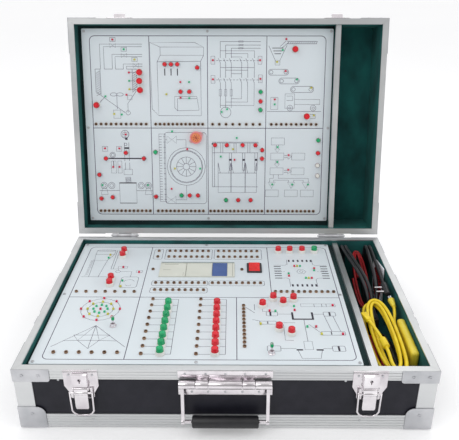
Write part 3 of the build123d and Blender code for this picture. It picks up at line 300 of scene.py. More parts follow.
# Near-black colour for the floor of each socket's bore: painted shade of the hole.
socket_bore_painted_shade = finish("socket_bore_painted_shade", (0.05, 0.03, 0.025), (0.02, 0.015, 0.01), 90, 900, (0.5, 0.7), 2e-5)

# %% [markdown]
# ## Case and panel finishes
#
# The walls are near-black laminate, the lining is short teal velvet whose nap catches the light in
# patches, and the panels are white board under a clear printed film. Velvet gets the shader's
# sheen, which brightens it towards grazing view as the pile does.

# %% Laminate, velvet, panel, board and ink
laminate = finish(
    "black_laminate", (0.014, 0.014, 0.022), (0.008, 0.008, 0.014), 60, 1500, (0.35, 0.5), 3e-5,
    Specular_IOR_Level=0.25,
)
velvet = finish(
    "teal_velvet", (0.008, 0.135, 0.125), (0.002, 0.040, 0.042), 22, 1800, (0.85, 1.0), 2e-4,
    stretch=(1, 1, 0.6), Sheen_Weight=0.12, Sheen_Roughness=0.4, Sheen_Tint=(0.1, 0.55, 0.5, 1),
)
panel_white = finish(
    "white_panel", (0.71, 0.77, 0.81), (0.68, 0.74, 0.78), 5, 700, (0.28, 0.4), 1e-5, Coat_Weight=0.15,
)
board_green = finish("green_board", (0.04, 0.22, 0.10), (0.03, 0.16, 0.07), 80, 900, (0.35, 0.5), 2e-5)
# The lining's velvet painted much darker, a painted shade under the panels' edges, for the battens.
velvet_painted_shade = finish(
    "batten_velvet_painted_shade", (0.003, 0.030, 0.030), (0.001, 0.012, 0.014), 28, 1800, (0.85, 1.0), 2e-4,
)
ink = finish("drawing_ink", (0.07, 0.045, 0.11), (0.04, 0.025, 0.07), 60, 900, (0.5, 0.7), 1e-5)
dark_ink = finish("solid_ink", (0.02, 0.012, 0.03), (0.01, 0.006, 0.02), 60, 900, (0.5, 0.7), 1e-5)

# %% [markdown]
# ## Plastics, rubber and cords
#
# Buttons are moulded gloss plastic, so they have a clear coat over a saturated colour. The lenses
# of the lamps share a finer, smoother grain. Cord sheaths are softer: a higher roughness, and a
# fine relief where they have been handled.

# %% Buttons, lamps, controller and cords
gloss = {"Coat_Weight": 0.4, "Coat_Roughness": 0.12}
cap = {"scale": 60, "fine_scale": 700, "polish": (0.22, 0.32), "depth": 1e-5, **gloss}
lens = {"scale": 200, "fine_scale": 900, "polish": (0.15, 0.25), "depth": 1e-5, **gloss}
sheath = {"scale": 60, "fine_scale": 600, "polish": (0.35, 0.5), "depth": 5e-5}
button_red = finish("red_button", (0.78, 0.005, 0.02), (0.62, 0.002, 0.012), **cap)
button_green = finish("green_button", (0.0, 0.42, 0.15), (0.0, 0.32, 0.11), **cap)
white_cap = {**cap, "polish": (0.22, 0.3)}
button_white = finish("white_button", (0.84, 0.83, 0.78), (0.76, 0.75, 0.70), **white_cap)
collar_white = finish("white_collar", (0.88, 0.87, 0.83), (0.80, 0.79, 0.76), 60, 700, (0.3, 0.4), 1e-5)
lamp_red = finish("red_lamp", (0.75, 0.0, 0.06), (0.5, 0.0, 0.04), **lens)
lamp_yellow = finish("yellow_lamp", (0.66, 0.62, 0.05), (0.5, 0.46, 0.03), **lens)
lamp_green = finish("green_lamp", (0.02, 0.52, 0.24), (0.01, 0.4, 0.17), **lens)
cream_case = finish("cream_case", (0.72, 0.73, 0.66), (0.66, 0.67, 0.60), 30, 900, (0.45, 0.6), 3e-5)
# Grey-green for the painted shadow along the top edge of the controller's window.
window_shadow_grey = finish("painted_window_shadow_grey", (0.30, 0.36, 0.36), (0.24, 0.29, 0.29), 40, 900, (0.4, 0.5), 1e-5)
seam_grey = finish("seam_grey", (0.30, 0.30, 0.25), (0.22, 0.22, 0.18), 40, 900, (0.5, 0.7), 1e-5)
label_blue = finish("blue_label", (0.07, 0.13, 0.36), (0.05, 0.10, 0.29), 40, 900, (0.3, 0.4), 1e-5)
black_plastic = finish(
    "black_plastic", (0.02, 0.02, 0.022), (0.012, 0.012, 0.014), 60, 900, (0.3, 0.45), 4e-5,
)
rocker_red = finish("red_rocker", (0.85, 0.01, 0.01), (0.6, 0.0, 0.0), 50, 700, (0.08, 0.15), 1e-5, **gloss)
buzzer_pink = finish("pink_shell", (0.85, 0.30, 0.30), (0.75, 0.22, 0.23), 40, 700, (0.3, 0.4), 2e-5, **gloss)
buzzer_orange = finish("orange_mesh", (0.85, 0.28, 0.12), (0.65, 0.16, 0.06), 300, 900, (0.4, 0.6), 5e-5)
rubber = finish("black_rubber", (0.015, 0.015, 0.018), (0.008, 0.008, 0.01), 80, 900, (0.38, 0.55), 6e-5)
cord_black = finish("black_sheath", (0.016, 0.016, 0.02), (0.008, 0.008, 0.01), 60, 600, (0.3, 0.45), 5e-5)
cord_red = finish("red_sheath", (0.48, 0.008, 0.014), (0.30, 0.002, 0.006), **sheath)
cord_yellow = finish("yellow_sheath", (0.86, 0.66, 0.015), (0.74, 0.52, 0.005), **sheath)
box_yellow = finish("yellow_box", (0.84, 0.68, 0.06), (0.76, 0.58, 0.03), 40, 600, (0.3, 0.42), 4e-5)
paper = finish("white_paper", (0.84, 0.84, 0.88), (0.76, 0.76, 0.82), 20, 500, (0.6, 0.75), 5e-5)
disc_red = finish("red_disc", (0.52, 0.02, 0.03), (0.30, 0.008, 0.012), 25, 500, (0.15, 0.3), 1e-5, **gloss)
floor_white = finish(
    "studio_white", (0.92, 0.92, 0.93), (0.90, 0.90, 0.91), 2, 50, (0.8, 0.9), 0.0,
    Emission_Color=(1, 1, 1, 1), Emission_Strength=0.15,
)
floor.data.materials.append(floor_white)
print(len(bpy.data.materials), "materials")

# %% [markdown]
# ## Finish the measured solids
#
# Solids whose shape is already right keep their mesh and only take a material. The dividers are
# one node of velvet board with an aluminium channel on top, so the faces of the channel, which lie
# highest in the tray, get a second slot.

# %% Put materials on the rim, walls, lining, panels and boards


def coat(piece, material):
    """Leave a piece with one material."""
    piece.data.materials.clear()
    piece.data.materials.append(material)


def paint(material, *names):
    """Give CAD nodes a material."""
    for name in names:
        coat(frame["nodes"][name], material)


paint(aluminium, "base_rim_frame", "lid_rim_frame", "base_edge_rails", "lid_edge_rails")
paint(laminate, "base_box_panels", "lid_box_panels")
paint(velvet, "base_lining", "lid_lining", "base_divider", "lid_divider")
paint(panel_white, "base_panel", "lid_panel")
paint(board_green, "base_circuit_board", "lid_circuit_board")
# Battens: velvet painted dark, a painted shade under the panels' edges.
paint(velvet_painted_shade, "base_battens", "lid_battens")
paint(cream_case, "controller")

channel_depth = 10 * mm
for tray_name, tray in trays.items():
    divider = frame["nodes"][f"{tray_name}_divider"]
    top = in_tray(f"{tray_name}_divider", tray)[1].z
    divider.data.materials.append(aluminium)
    for face in divider.data.polygons:
        if (tray.inverted() @ face.center).z > top - channel_depth:
            face.material_index = 1

# %% [markdown]
# ## Soften the pressed and cast metal
#
# Pressed corners, hinges, latches and the handle have small rounded edges that catch the light. For
# each, a merged copy of the solid gets a narrow bevel and is shaded smooth where the angle is small,
# so the flat-sided barrels look round. The copy rides on the same body and stands for the node.

# %% A dressed copy of a node


def work_on(piece):
    """Put a new piece in the scene, selected by itself and active."""
    bpy.ops.object.select_all(action="DESELECT")
    bpy.context.collection.objects.link(piece)
    piece.select_set(True)
    bpy.context.view_layer.objects.active = piece


def dressed_copy(node, body, material, edge, smooth=40):
    """A bevelled, smoothly shaded copy of a CAD node that stands for it."""
    piece = frame["nodes"][node].copy()
    piece.data = frame["nodes"][node].data.copy()
    piece.parent = None
    piece.matrix_world = Matrix.Identity(4)
    piece.name = f"{node}_dressed"
    coat(piece, material)
    work_on(piece)
    bpy.ops.mesh.customdata_custom_splitnormals_clear()
    bpy.ops.object.mode_set(mode="EDIT")
    bpy.ops.mesh.select_all(action="SELECT")
    bpy.ops.mesh.remove_doubles(threshold=1e-6)
    bpy.ops.mesh.dissolve_limited(angle_limit=radians(1))
    bpy.ops.object.mode_set(mode="OBJECT")
    rounding = piece.modifiers.new("rounding", "BEVEL")
    rounding.width = edge * mm
    rounding.segments = 2
    rounding.limit_method = "ANGLE"
    rounding.angle_limit = radians(smooth)
    bpy.ops.object.modifier_apply(modifier="rounding")
    bpy.ops.object.shade_smooth_by_angle(angle=radians(smooth))
    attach(piece, body)
    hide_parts(node)


for node, body, material, slot, edge in (
    ("base_corner_caps", "root", corner_steel, "nickel", 0.4),
    ("lid_corner_caps", "lid", corner_steel, "nickel", 0.4),
    ("hinge_base_leaves", "root", corner_steel, "nickel", 0.2),
    ("hinge_lid_leaves", "lid", corner_steel, "nickel", 0.2),
    ("side_plates", "root", corner_steel, "steel", 0.4),
    ("latch_plates", "root", chrome_with_painted_reflection, "nickel", 0.3),
    ("latch_lever_left", "latch_lever_left", chrome_with_painted_reflection, "nickel", 0.4),
    ("latch_lever_right", "latch_lever_right", chrome_with_painted_reflection, "nickel", 0.4),
    ("latch_keepers", "lid", chrome_with_painted_reflection, "nickel", 0.3),
    ("handle_plate", "root", chrome_with_painted_reflection, "nickel", 0.3),
    ("handle_bail", "handle", chrome_with_painted_reflection, "nickel", 0.4),
    ("rocker_bezel", "root", black_plastic, "black_plastic", 0.6),
    ("rocker_key", "rocker_key", rocker_red, "button_red", 0.5),
):
    dressed_copy(node, body, material, edge)

# %% [markdown]
# ## Tools for modelling by hand
#
# The round parts all start as a cylinder that is shaped in edit mode. Faces are picked by their
# place and their normal, the way one would click on them. A finished model is then copied to its
# stands, each copy with a mesh of its own, and the copies are joined into one bank.

# %% Cylinders and boxes to start from


def round_blank(name, radius, low, high, sides=20):
    """A cylinder along Z from one height to another, in millimetres."""
    bpy.ops.object.select_all(action="DESELECT")
    bpy.ops.mesh.primitive_cylinder_add(
        vertices=sides, radius=radius * mm, depth=(high - low) * mm, location=(0, 0, (high + low) / 2 * mm)
    )
    bpy.ops.object.transform_apply(location=True, rotation=True, scale=True)
    bpy.context.object.name = name
    return bpy.context.object


def block_blank(name, low, high):
    """A box between two corners, in millimetres."""
    bpy.ops.object.select_all(action="DESELECT")
    middle = [(a + b) / 2 * mm for a, b in zip(low, high)]
    size = [(b - a) * mm for a, b in zip(low, high)]
    bpy.ops.mesh.primitive_cube_add(size=1, location=middle, scale=size)
    bpy.ops.object.transform_apply(location=True, rotation=True, scale=True)
    bpy.context.object.name = name
    return bpy.context.object


# %% Pick faces or edges, and shape them
snap, upright_least, sharp = 0.02 * mm, 1.0 * mm, radians(60)


def pick(kind, test):
    """Go to edit mode with only the faces or edges selected that a test picks."""
    piece = bpy.context.object
    bpy.ops.object.mode_set(mode="EDIT")
    bpy.ops.mesh.select_mode(type=kind)
    bpy.ops.mesh.select_all(action="DESELECT")
    shape = bmesh.from_edit_mesh(piece.data)
    for part in shape.faces if kind == "FACE" else shape.edges:
        part.select_set(bool(test(part)))
    bmesh.update_edit_mesh(piece.data)


def at_height(z, height):
    """Whether a Z in metres is at a height in millimetres."""
    return abs(z - height * mm) < snap


def pick_top(height):
    """Pick the face that looks up at a height."""
    pick("FACE", lambda face: face.normal.z > 0.9 and at_height(face.calc_center_median().z, height))


def raise_face(inset, rise):
    """Inset the picked face and move it along Z, down where the rise is negative."""
    bpy.ops.mesh.inset(thickness=inset * mm)
    bpy.ops.mesh.extrude_region_move(TRANSFORM_OT_translate={"value": (0, 0, rise * mm)})


def sink(height, inset, depth):
    """Inset the top face at a height and push it in, for a bore or a dish."""
    pick_top(height)
    raise_face(inset, -depth)


def round_over(width, segments=3):
    """Bevel the picked edges."""
    bpy.ops.mesh.bevel(offset=width * mm, segments=segments, affect="EDGES")


def round_rims(width, segments, *heights):
    """Bevel the edges that lie level at some heights."""
    pick("EDGE", lambda edge: any(all(at_height(v.co.z, level) for v in edge.verts) for level in heights))
    round_over(width, segments)


def round_uprights(width, segments):
    """Bevel the edges that stand upright."""
    pick("EDGE", lambda edge: abs(edge.verts[0].co.z - edge.verts[1].co.z) > upright_least)
    round_over(width, segments)


def round_corners(width, segments=3):
    """Bevel all the sharp edges."""
    pick("EDGE", lambda edge: edge.calc_face_angle() > sharp)
    round_over(width, segments)


def done(material, smooth=40):
    """Leave edit mode, shade the piece and give it its material."""
    bpy.ops.object.mode_set(mode="OBJECT")
    bpy.ops.object.shade_smooth_by_angle(angle=radians(smooth))
    coat(bpy.context.object, material)
    return bpy.context.object


# %% Stand copies on a panel


def stand_copies(models, name, stands, body, slot, *replaced):
    """Copy each modelled piece to each stand and join the copies into one bank."""
    bpy.ops.object.select_all(action="DESELECT")
    for model in models:
        for stand in stands:
            copy = model.copy()
            copy.data = model.data.copy()
            copy.data.transform(stand)
            bpy.context.collection.objects.link(copy)
            copy.select_set(True)
    bpy.context.view_layer.objects.active = copy
    bpy.ops.object.join()
    bank = bpy.context.object
    for model in models:
        bpy.data.objects.remove(model)
    bank.name = name
    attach(bank, body)
    if replaced:
        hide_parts(*replaced)
    return bank


def stands_of(node, tray, foot=None, chosen=lambda middle, size: True):
    """A matrix for each loose part of a node, at its middle and on the tray's axes."""
    stands = []
    for middle, size in loose_parts(node, tray):
        if chosen(middle, size):
            low = middle.z - size.z / 2 if foot is None else foot
            stands.append(tray @ Matrix.Translation((middle.x, middle.y, low)))
    return stands


def on_panel(tray_name, x, y, turn=0.0):
    """A matrix on a panel's face, at a place measured right and down from its upper-left corner."""
    spot = Matrix.Translation((x * mm, -y * mm, 0))
    return faces[tray_name] @ spot @ Matrix.Rotation(radians(turn), 4, "Z")


panel_top = {name: in_tray(f"{name}_panel", tray)[1].z for name, tray in trays.items()}

# %% [markdown]
# ## Mushroom buttons
#
# Each large button is a white collar with a red or green cap that slides in it. The cap is a
# cylinder with a well-rounded shoulder and a slightly dished top, so a fingertip finds its middle.
# The collar gets a bore, a thin lip and a rounded outer edge.

# %% Model a cap and a collar, and stand them on both panels
knob_wide, knob_foot, knob_top = 5.2, 3.8, 12.0
collar_wide, collar_bore, collar_high, bore_floor = 6.6, 5.6, 6.0, 0.6


def make_knob(material):
    """A cap from inside its collar up to its dished top."""
    round_blank("knob", knob_wide, knob_foot, knob_top)
    sink(knob_top, 1.5, 0.35)
    round_rims(0.9, 3, knob_top)
    return done(material)


def make_collar(material, wide, bore, high, lip):
    """A ring that stands on the panel round a cap."""
    round_blank("collar", wide, 0, high)
    sink(high, wide - bore, high - bore_floor)
    round_rims(lip, 2, high)
    return done(material)


for node, tray_name, material, slot in (
    ("base_buttons_green", "base", button_green, "button_green"),
    ("input_buttons_red", "base", button_red, "button_red"),
    ("scene_buttons_red", "base", button_red, "button_red"),
    ("tank_buttons_red", "lid", button_red, "button_red"),
):
    stands = stands_of(node, trays[tray_name], panel_top[tray_name])
    stand_copies([make_knob(material)], f"{node}_caps", stands, node, slot, node)
    print(node, len(stands), "caps")

large = 11 * mm
for tray_name, body in riding.items():
    node = f"{tray_name}_button_collars"
    stands = stands_of(node, trays[tray_name], chosen=lambda middle, size: size.x > large)
    collar = make_collar(collar_white, collar_wide, collar_bore, collar_high, 0.5)
    stand_copies([collar], f"{tray_name}_collars", stands, body, "collar_white", node)

# %% [markdown]
# ## Small keys
#
# The keys on the lid are about seven millimetres across, each a small domed cap in a bright nickel
# ring. The collar's model serves for the ring, with other sizes.

# %% Model the keys and their rings
key_wide, key_foot, key_top = 3.5, 2.4, 7.0
ring_wide, ring_bore, ring_high = 4.7, 3.9, 4.0


def make_key(material):
    """A small domed key."""
    round_blank("key", key_wide, key_foot, key_top, 16)
    round_rims(1.1, 3, key_top)
    return done(material)


for colour, material in (("red", button_red), ("green", button_green), ("white", button_white)):
    node = f"lid_buttons_{colour}"
    stands = stands_of(node, lid_tray, panel_top["lid"])
    stand_copies([make_key(material)], f"{node}_keys", stands, node, f"button_{colour}", node)

stands = stands_of("lid_button_collars", lid_tray, chosen=lambda middle, size: size.x < large)
key_ring = make_collar(chrome_with_painted_reflection, ring_wide, ring_bore, ring_high, 0.4)
stand_copies([key_ring], "lid_key_rings", stands, "lid", "nickel")
print(len(stands), "keys on the lid")

# %% [markdown]
# ## Patch sockets, lamps and screws
#
# Over two hundred sockets repeat, so each is kept to a few dozen faces: a brass nut whose bore has
# its floor painted near black, a painted shade for the deep hole. The lamps are small square lenses
# with rounded edges, sorted by colour from short lists of the red and yellow places; every other lamp is
# green.

# %% Sockets
socket_wide, socket_high, socket_wall, socket_bore = 2.7, 2.4, 0.9, 1.6


def make_socket():
    """A brass nut with a bore whose floor is painted near black, a painted shade for the deep hole."""
    round_blank("socket", socket_wide, 0, socket_high, 10)
    sink(socket_high, socket_wall, socket_bore)
    piece = done(brass, 30)
    # The bore's floor gets the near-black material, painted shade for the depth of the hole.
    piece.data.materials.append(socket_bore_painted_shade)
    for face in piece.data.polygons:
        if face.normal.z > 0.9 and at_height(face.center.z, socket_high - socket_bore):
            face.material_index = 1
    return piece


for tray_name, body in riding.items():
    node = f"{tray_name}_sockets"
    stands = stands_of(node, trays[tray_name])
    stand_copies([make_socket()], f"{tray_name}_jacks", stands, body, "socket", node)
    print(tray_name, len(stands), "sockets")

# %% Lamps
lamp_half, lamp_high = 1.6, 2.6
star_middle, star_rings = (72.1, 221.5), (11.0, 20.0, 30.3)
red_lamps = {
    "base": [star_middle, (386, 84), (420, 92), (412, 125), (374, 118), (86, 90), (116, 107), (335, 225),
             (374, 223), (435, 209), (402, 267), (439, 285)],
    "lid": [(56, 19), (84, 77), (78, 117), (178, 94), (178, 122), (238, 55), (238, 89), (324, 55), (325, 88),
            (371, 18), (371, 74), (352, 125), (74, 190), (34, 216), (61, 216), (48, 251), (60, 251),
            (189, 217), (158, 293), (278, 237), (380, 228), (380, 256)],
}
yellow_lamps = {
    "base": [(391, 84), (407, 125), (55, 45), (92, 154), (320, 260), (408, 285)],
    "lid": [(95, 54), (84, 107), (54, 152), (152, 116), (355, 58), (419, 104), (425, 154), (165, 254),
            (275, 217)],
}
for k in range(8):
    ray = radians(45 * k)
    for ring, places in ((star_rings[1], yellow_lamps), (star_rings[2], red_lamps)):
        places["base"].append((star_middle[0] + ring * cos(ray), star_middle[1] + ring * sin(ray)))


def make_lamp(material):
    """A square lens with rounded edges."""
    block_blank("lamp", (-lamp_half, -lamp_half, 0), (lamp_half, lamp_half, lamp_high))
    pick("EDGE", lambda edge: max(v.co.z for v in edge.verts) > 1 * mm)
    round_over(0.4, 2)
    return done(material)


def near(places, x, y):
    """Whether a panel place is in a list, within a millimetre."""
    return any(abs(px - x) < 1 and abs(py - y) < 1 for px, py in places)


for tray_name, body in riding.items():
    sorted_lamps = {"red": [], "yellow": [], "green": []}
    to_panel, node = faces[tray_name].inverted(), f"{tray_name}_lamps"
    for stand in stands_of(node, trays[tray_name]):
        place = to_panel @ stand.translation
        x, y = place.x / mm, -place.y / mm
        red, yellow = near(red_lamps[tray_name], x, y), near(yellow_lamps[tray_name], x, y)
        sorted_lamps["red" if red else "yellow" if yellow else "green"].append(stand)
    for colour, material in (("red", lamp_red), ("yellow", lamp_yellow), ("green", lamp_green)):
        replaced = [node] if colour == "red" else []
        lamp, stands = make_lamp(material), sorted_lamps[colour]
        stand_copies([lamp], f"{node}_{colour}", stands, body, "lamps", *replaced)
    print(tray_name, {colour: len(stands) for colour, stands in sorted_lamps.items()})

# %% Screws
screw_wide, screw_high = 2.4, 1.0


def make_screw():
    """A low round head with a driver's recess."""
    round_blank("screw", screw_wide, 0, screw_high, 14)
    round_rims(0.35, 2, screw_high)
    sink(screw_high, 0.9, 0.5)
    return done(corner_steel)


def outward(middle, size, tray):
    """A matrix at a fastener's foot, with Z pointing the way that its head looks."""
    axis = min(range(3), key=lambda k: size[k])
    way = Vector((0, 0, 0))
    way[axis] = 1 if axis == 2 or middle[axis] > 0 else -1
    foot = middle - way * size[axis] / 2
    return tray @ Matrix.Translation(foot) @ way.to_track_quat("Z", "Y").to_matrix().to_4x4()


for tray_name, body in riding.items():
    tray, node = trays[tray_name], f"{tray_name}_fasteners"
    stands = [outward(middle, size, tray) for middle, size in loose_parts(node, tray)]
    stand_copies([make_screw()], f"{tray_name}_screws", stands, body, "steel", node)
    print(tray_name, len(stands), "screws")

# %% [markdown]
# ## Toggles
#
# A toggle is a threaded bush with a hex nut, and a tapered lever whose tip carries a green sleeve.
# The levers keep their measured tilt, so they are dressed copies, and a rounded sleeve is slipped
# over the end of each.

# %% Bushes and levers
nut_wide, nut_high, bush_wide, bush_bore, bush_high, bush_floor = 5.5, 1.8, 3.8, 2.7, 5.0, 0.4
sleeve_wide, sleeve_low, sleeve_high, nut_least = 2.4, 9.2, 16.2, 8.5 * mm


def make_nut():
    """A hex nut with its corners taken off."""
    round_blank("nut", nut_wide, 0, nut_high, 6)
    round_rims(0.35, 1, nut_high)
    return done(chrome_with_painted_reflection, 20)


def make_bush():
    """A short tube with a lip."""
    round_blank("bush", bush_wide, 0, bush_high)
    sink(bush_high, bush_wide - bush_bore, bush_high - bush_floor)
    round_rims(0.25, 1, bush_high)
    return done(chrome_with_painted_reflection)


stands = stands_of("toggle_bushes", base_tray, panel_top["base"], lambda middle, size: size.x > nut_least)
stand_copies([make_nut(), make_bush()], "toggle_sleeves", stands, "root", "steel", "toggle_bushes")
lever_tilt, toggle_places = 12, {"left": (99.8, 266.8), "right": (332.7, 330.6)}
for side, (x, y) in toggle_places.items():
    body = f"toggle_lever_{side}"
    dressed_copy(body, body, chrome_with_painted_reflection, 0.25)
    round_blank("tip", sleeve_wide, sleeve_low, sleeve_high, 18)
    round_rims(1.7, 4, sleeve_low, sleeve_high)
    tilted = on_panel("base", x, y) @ Matrix.Rotation(-radians(lever_tilt), 4, "X")
    stand_copies([done(button_green)], f"{body}_tip", [tilted], body, "button_green", body)

# %% [markdown]
# ## Buzzer
#
# The sounder in the middle of the lid is a pink can with two screwed ears and a dished orange face
# with a ring of sound holes, each hole a black dot of painted shade. The can is one cylinder with its
# top sunk in, and the ears are one bar with rounded ends that passes under it.

# %% Can, ears and sound holes
buzzer_place, buzzer_turn = (205.9, 195.2), 35
can_wide, can_high, dish_wide, dish_deep = 11.4, 8.0, 9.0, 0.9
mesh_low, mesh_high = can_high - 1.2, can_high - 0.6
ear_long, ear_half, ear_thick, ear_screw, screw_foot = 15, 3.5, 2, 13, 1.2
hole_wide, hole_ring, hole_count = 0.7, 5, 8
hole_low, hole_high = can_high - 0.9, can_high - 0.5
stand = on_panel("lid", *buzzer_place, buzzer_turn)
shell = "buzzer_shell"
round_blank("can", can_wide, 0, can_high, 40)
sink(can_high, can_wide - dish_wide, dish_deep)
round_rims(0.7, 3, can_high)
stand_copies([done(buzzer_pink)], "buzzer_can", [stand], "lid", shell, "buzzer")

block_blank("ears", (-ear_long, -ear_half, 0), (ear_long, ear_half, ear_thick))
round_uprights(3.2, 5)
stand_copies([done(buzzer_pink)], "buzzer_ears", [stand], "lid", shell, "buzzer")

round_blank("mesh", dish_wide - 0.3, mesh_low, mesh_high, 40)
sink(mesh_high, dish_wide - 3.2, 0.3)
stand_copies([done(buzzer_orange)], "buzzer_mesh", [stand], "lid", shell, "buzzer")

outward_by_ring = Matrix.Translation((hole_ring * mm, 0, 0))
turns = [Matrix.Rotation(tau * k / hole_count, 4, "Z") for k in range(hole_count)]
# Black dots in the dish stand for the sound holes: painted shade.
round_blank("hole", hole_wide, hole_low, hole_high, 8)
hole_shade_stands = [stand @ turn @ outward_by_ring for turn in turns]
stand_copies([done(rubber)], "buzzer_holes_painted_shade", hole_shade_stands, "lid", "rubber_black")
ear_screws = [stand @ Matrix.Translation(Vector((x, 0, screw_foot)) * mm) for x in (-ear_screw, ear_screw)]
stand_copies([make_screw()], "buzzer_screws", ear_screws, "lid", "steel")

# %% [markdown]
# ## The controller's face
#
# The controller shows through its window as a cream housing. Its face is split into hinged flaps by
# thin dark seams, a blue label fills a bay on the right, and a grey-green strip of painted shadow runs
# along the window's top edge, where the panel's edge shades the recessed face. Each is a thin plate
# let into the face. The label stays bare.

# %% Plates let into a face


def thin_plates(name, tray_name, bars, material, slot, level=0.0, proud=0.15, deep=0.1):
    """Thin plates on a face, each given by its left, top, right and bottom in millimetres."""
    plates = []
    for left, top, right, bottom in bars:
        plate = block_blank(name, (left, -bottom, level - deep), (right, -top, level + proud))
        coat(plate, material)
        plates.append(plate)
    stand_copies(plates, name, [faces[tray_name]], riding[tray_name], slot)


window_left, window_top, window_right, window_bottom, face_level = 151.0, 72.5, 281.0, 122.5, 2.0
label = [(242.5, 76.5, 268, window_bottom - 0.6)]
# A strip along the window's top edge: painted shadow of the panel's edge on the recessed face.
painted_window_shadow = [(window_left + 0.5, window_top + 0.4, window_right - 0.5, 76)]
seam_sides = ((196.7, 197.2), (268.2, 268.6), (241.8, 242.2), (277, 277.6))
seams = [(left, 76, right, 122) for left, right in seam_sides]
seams += [(192.5, 109, 192.9, 120.5), (158, 80.6, 182, 81.6), (157, 100, 170, 100.6)]
for part, bars, material, proud in (
    ("label", label, label_blue, 0.15), ("painted_window_shadow", painted_window_shadow, window_shadow_grey, 0.15), ("seams", seams, seam_grey, 0.08),
):
    thin_plates(f"controller_{part}", "base", bars, material, "controller_case", face_level, proud)

# %% [markdown]
# ## Latches, handle and feet
#
# The wire bails, the padded grip and the feet keep their measured outline too. Small bevels and
# smooth shading turn their flat-sided sections round.

# %% Wire, grip and feet
for node in ("latch_bail_left", "latch_bail_right"):
    dressed_copy(node, node, chrome_with_painted_reflection, 0.2, 65)
dressed_copy("handle_grip", "handle", rubber, 2.2, 50)
dressed_copy("rubber_feet", "root", rubber, 0.6, 50)

# %% [markdown]
# ## Cords in the compartment
#
# Each cord is one smooth line through its own route points, with the sheath's radius as bevel. The
# places are measured from the divider, the case's front and the floor, as the compartment is. The
# mains lead fans out to the rear in four tall loops, the yellow cable lies in a flat hank over the
# adapter, and the patch leads are coiled beneath it and behind.

# %% A free cord along a route
pocket_left, case_deep = 205.5, 390.0
front_face = case_middle / mm - case_deep / 2


def place(x, y, z):
    """A place in the compartment, measured from the divider, the front face and the floor."""
    return Vector((pocket_left + x, front_face + y, z)) * mm


def stand_at(x, y, z, turn=0.0, axis="Z"):
    """A matrix at a place in the compartment, turned by some degrees about one axis."""
    return Matrix.Translation(place(x, y, z)) @ Matrix.Rotation(radians(turn), 4, axis)


def smooth_line(name, route, radius):
    """A curve of one open spline with the route's points as its control points."""
    line = bpy.data.curves.new(name, "CURVE")
    line.dimensions = "3D"
    line.resolution_u = 8
    line.bevel_depth = radius * mm
    line.bevel_resolution = 3
    line.use_fill_caps = True
    spline = line.splines.new("NURBS")
    spline.points.add(len(route) - 1)
    for point, spot in zip(spline.points, route):
        point.co = (*place(*spot), 1)
    spline.order_u = 3
    spline.use_endpoint_u = True
    piece = bpy.data.objects.new(name, line)
    bpy.context.collection.objects.link(piece)
    return piece


def free_cord(name, route, radius, material, node, slot, length, **facts):
    """A cord that stands for its solid."""
    piece = smooth_line(name, route, radius)
    piece.data.materials.append(material)
    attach(piece, "root")
    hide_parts(node)
    tuple(place(*route[0]))


# %% Mains adapter and right-angle plug, each with its body and node
adapter_low, adapter_top = (-15.0, -19.0, 12.0), (15.0, 19.0, 69.8)
block_blank("adapter", adapter_low, adapter_top)
pick_top(adapter_top[2])
bpy.ops.transform.resize(value=(0.87, 0.89, 1))
raise_face(3, -0.8)
round_corners(1.6)
mains_facts = ("root", "black_plastic", "mains_plugs")
at_floor = stand_at(22.5, 181.0, 0)
adapter = stand_copies([done(black_plastic)], "mains_adapter", [at_floor], *mains_facts)

plug_end, plug_wide, plug_long = (56.5, 236.0, 90.0), 6.1, 30
round_blank("plug", plug_wide, 0, plug_long, 24)
pick_top(plug_long)
bpy.ops.transform.resize(value=(0.74, 0.74, 1))
round_rims(1.2, 3, 0, plug_long)
toward_front = stand_at(*plug_end, 90, "X")
plug = stand_copies([done(black_plastic)], "mains_plug", [toward_front], *mains_facts)

pin_wide, pin_long = 1.5, 13
round_blank("pin", pin_wide, 0, pin_long, 12)
round_rims(0.6, 2, pin_long)
pins = [stand_at(52.5, y, 90, -90, "Y") for y in (214.5, 227.5)]
pins = stand_copies([done(chrome_with_painted_reflection)], "mains_pins", pins, "root", "nickel")

# %% Mains lead in four tall loops
mains_front_x, mains_rear_x = (22.5, 29.3, 36.1, 42.9), (7.0, 14.0, 51.5, 58.5)
mains_front, mains_rear, mains_low, mains_high = 214.0, 375.0, 15.2, 93.0
mains_shoulder, mains_return = 72.0, 25.0
mains_route = [(mains_front_x[0], 200, 20)]
for front_x, rear_x in zip(mains_front_x, mains_rear_x):
    if front_x > mains_front_x[0]:
        mains_route += [(front_x, mains_front, mains_high), (front_x, mains_front, mains_low)]
    mains_route += [
        (rear_x, mains_rear, mains_low), (rear_x, mains_rear, mains_shoulder),
        (rear_x, mains_rear - 1, mains_high + 1), (rear_x, mains_rear - mains_return, mains_high + 3),
    ]
mains_route.append(plug_end)
free_cord(
    "mains_lead", mains_route, 3.0, cord_black, "mains_cord", "cord_black", 1.601, far_end="plug",
    stiffness="medium", lay="coiled", with_pieces=[plug, pins, adapter],
)

# %% Data cable in a flat hank
data_x, data_front, data_rear = 26.5, 16.0, 190.0
data_wide, data_slim, data_inner, data_inset = 20.5, 14.5, 8.5, 7.2
data_low, data_high, data_over = 79.4, 85.6, 92.1
side_slope, end_slope = 0.2, 0.03
connector_place = (58.5, 172.0, 88.0)


def lean(x, y, z):
    """The hank lies lower at its front left, where less is under it."""
    return (data_x + x, y, z + side_slope * x + end_slope * (y - data_rear / 2))


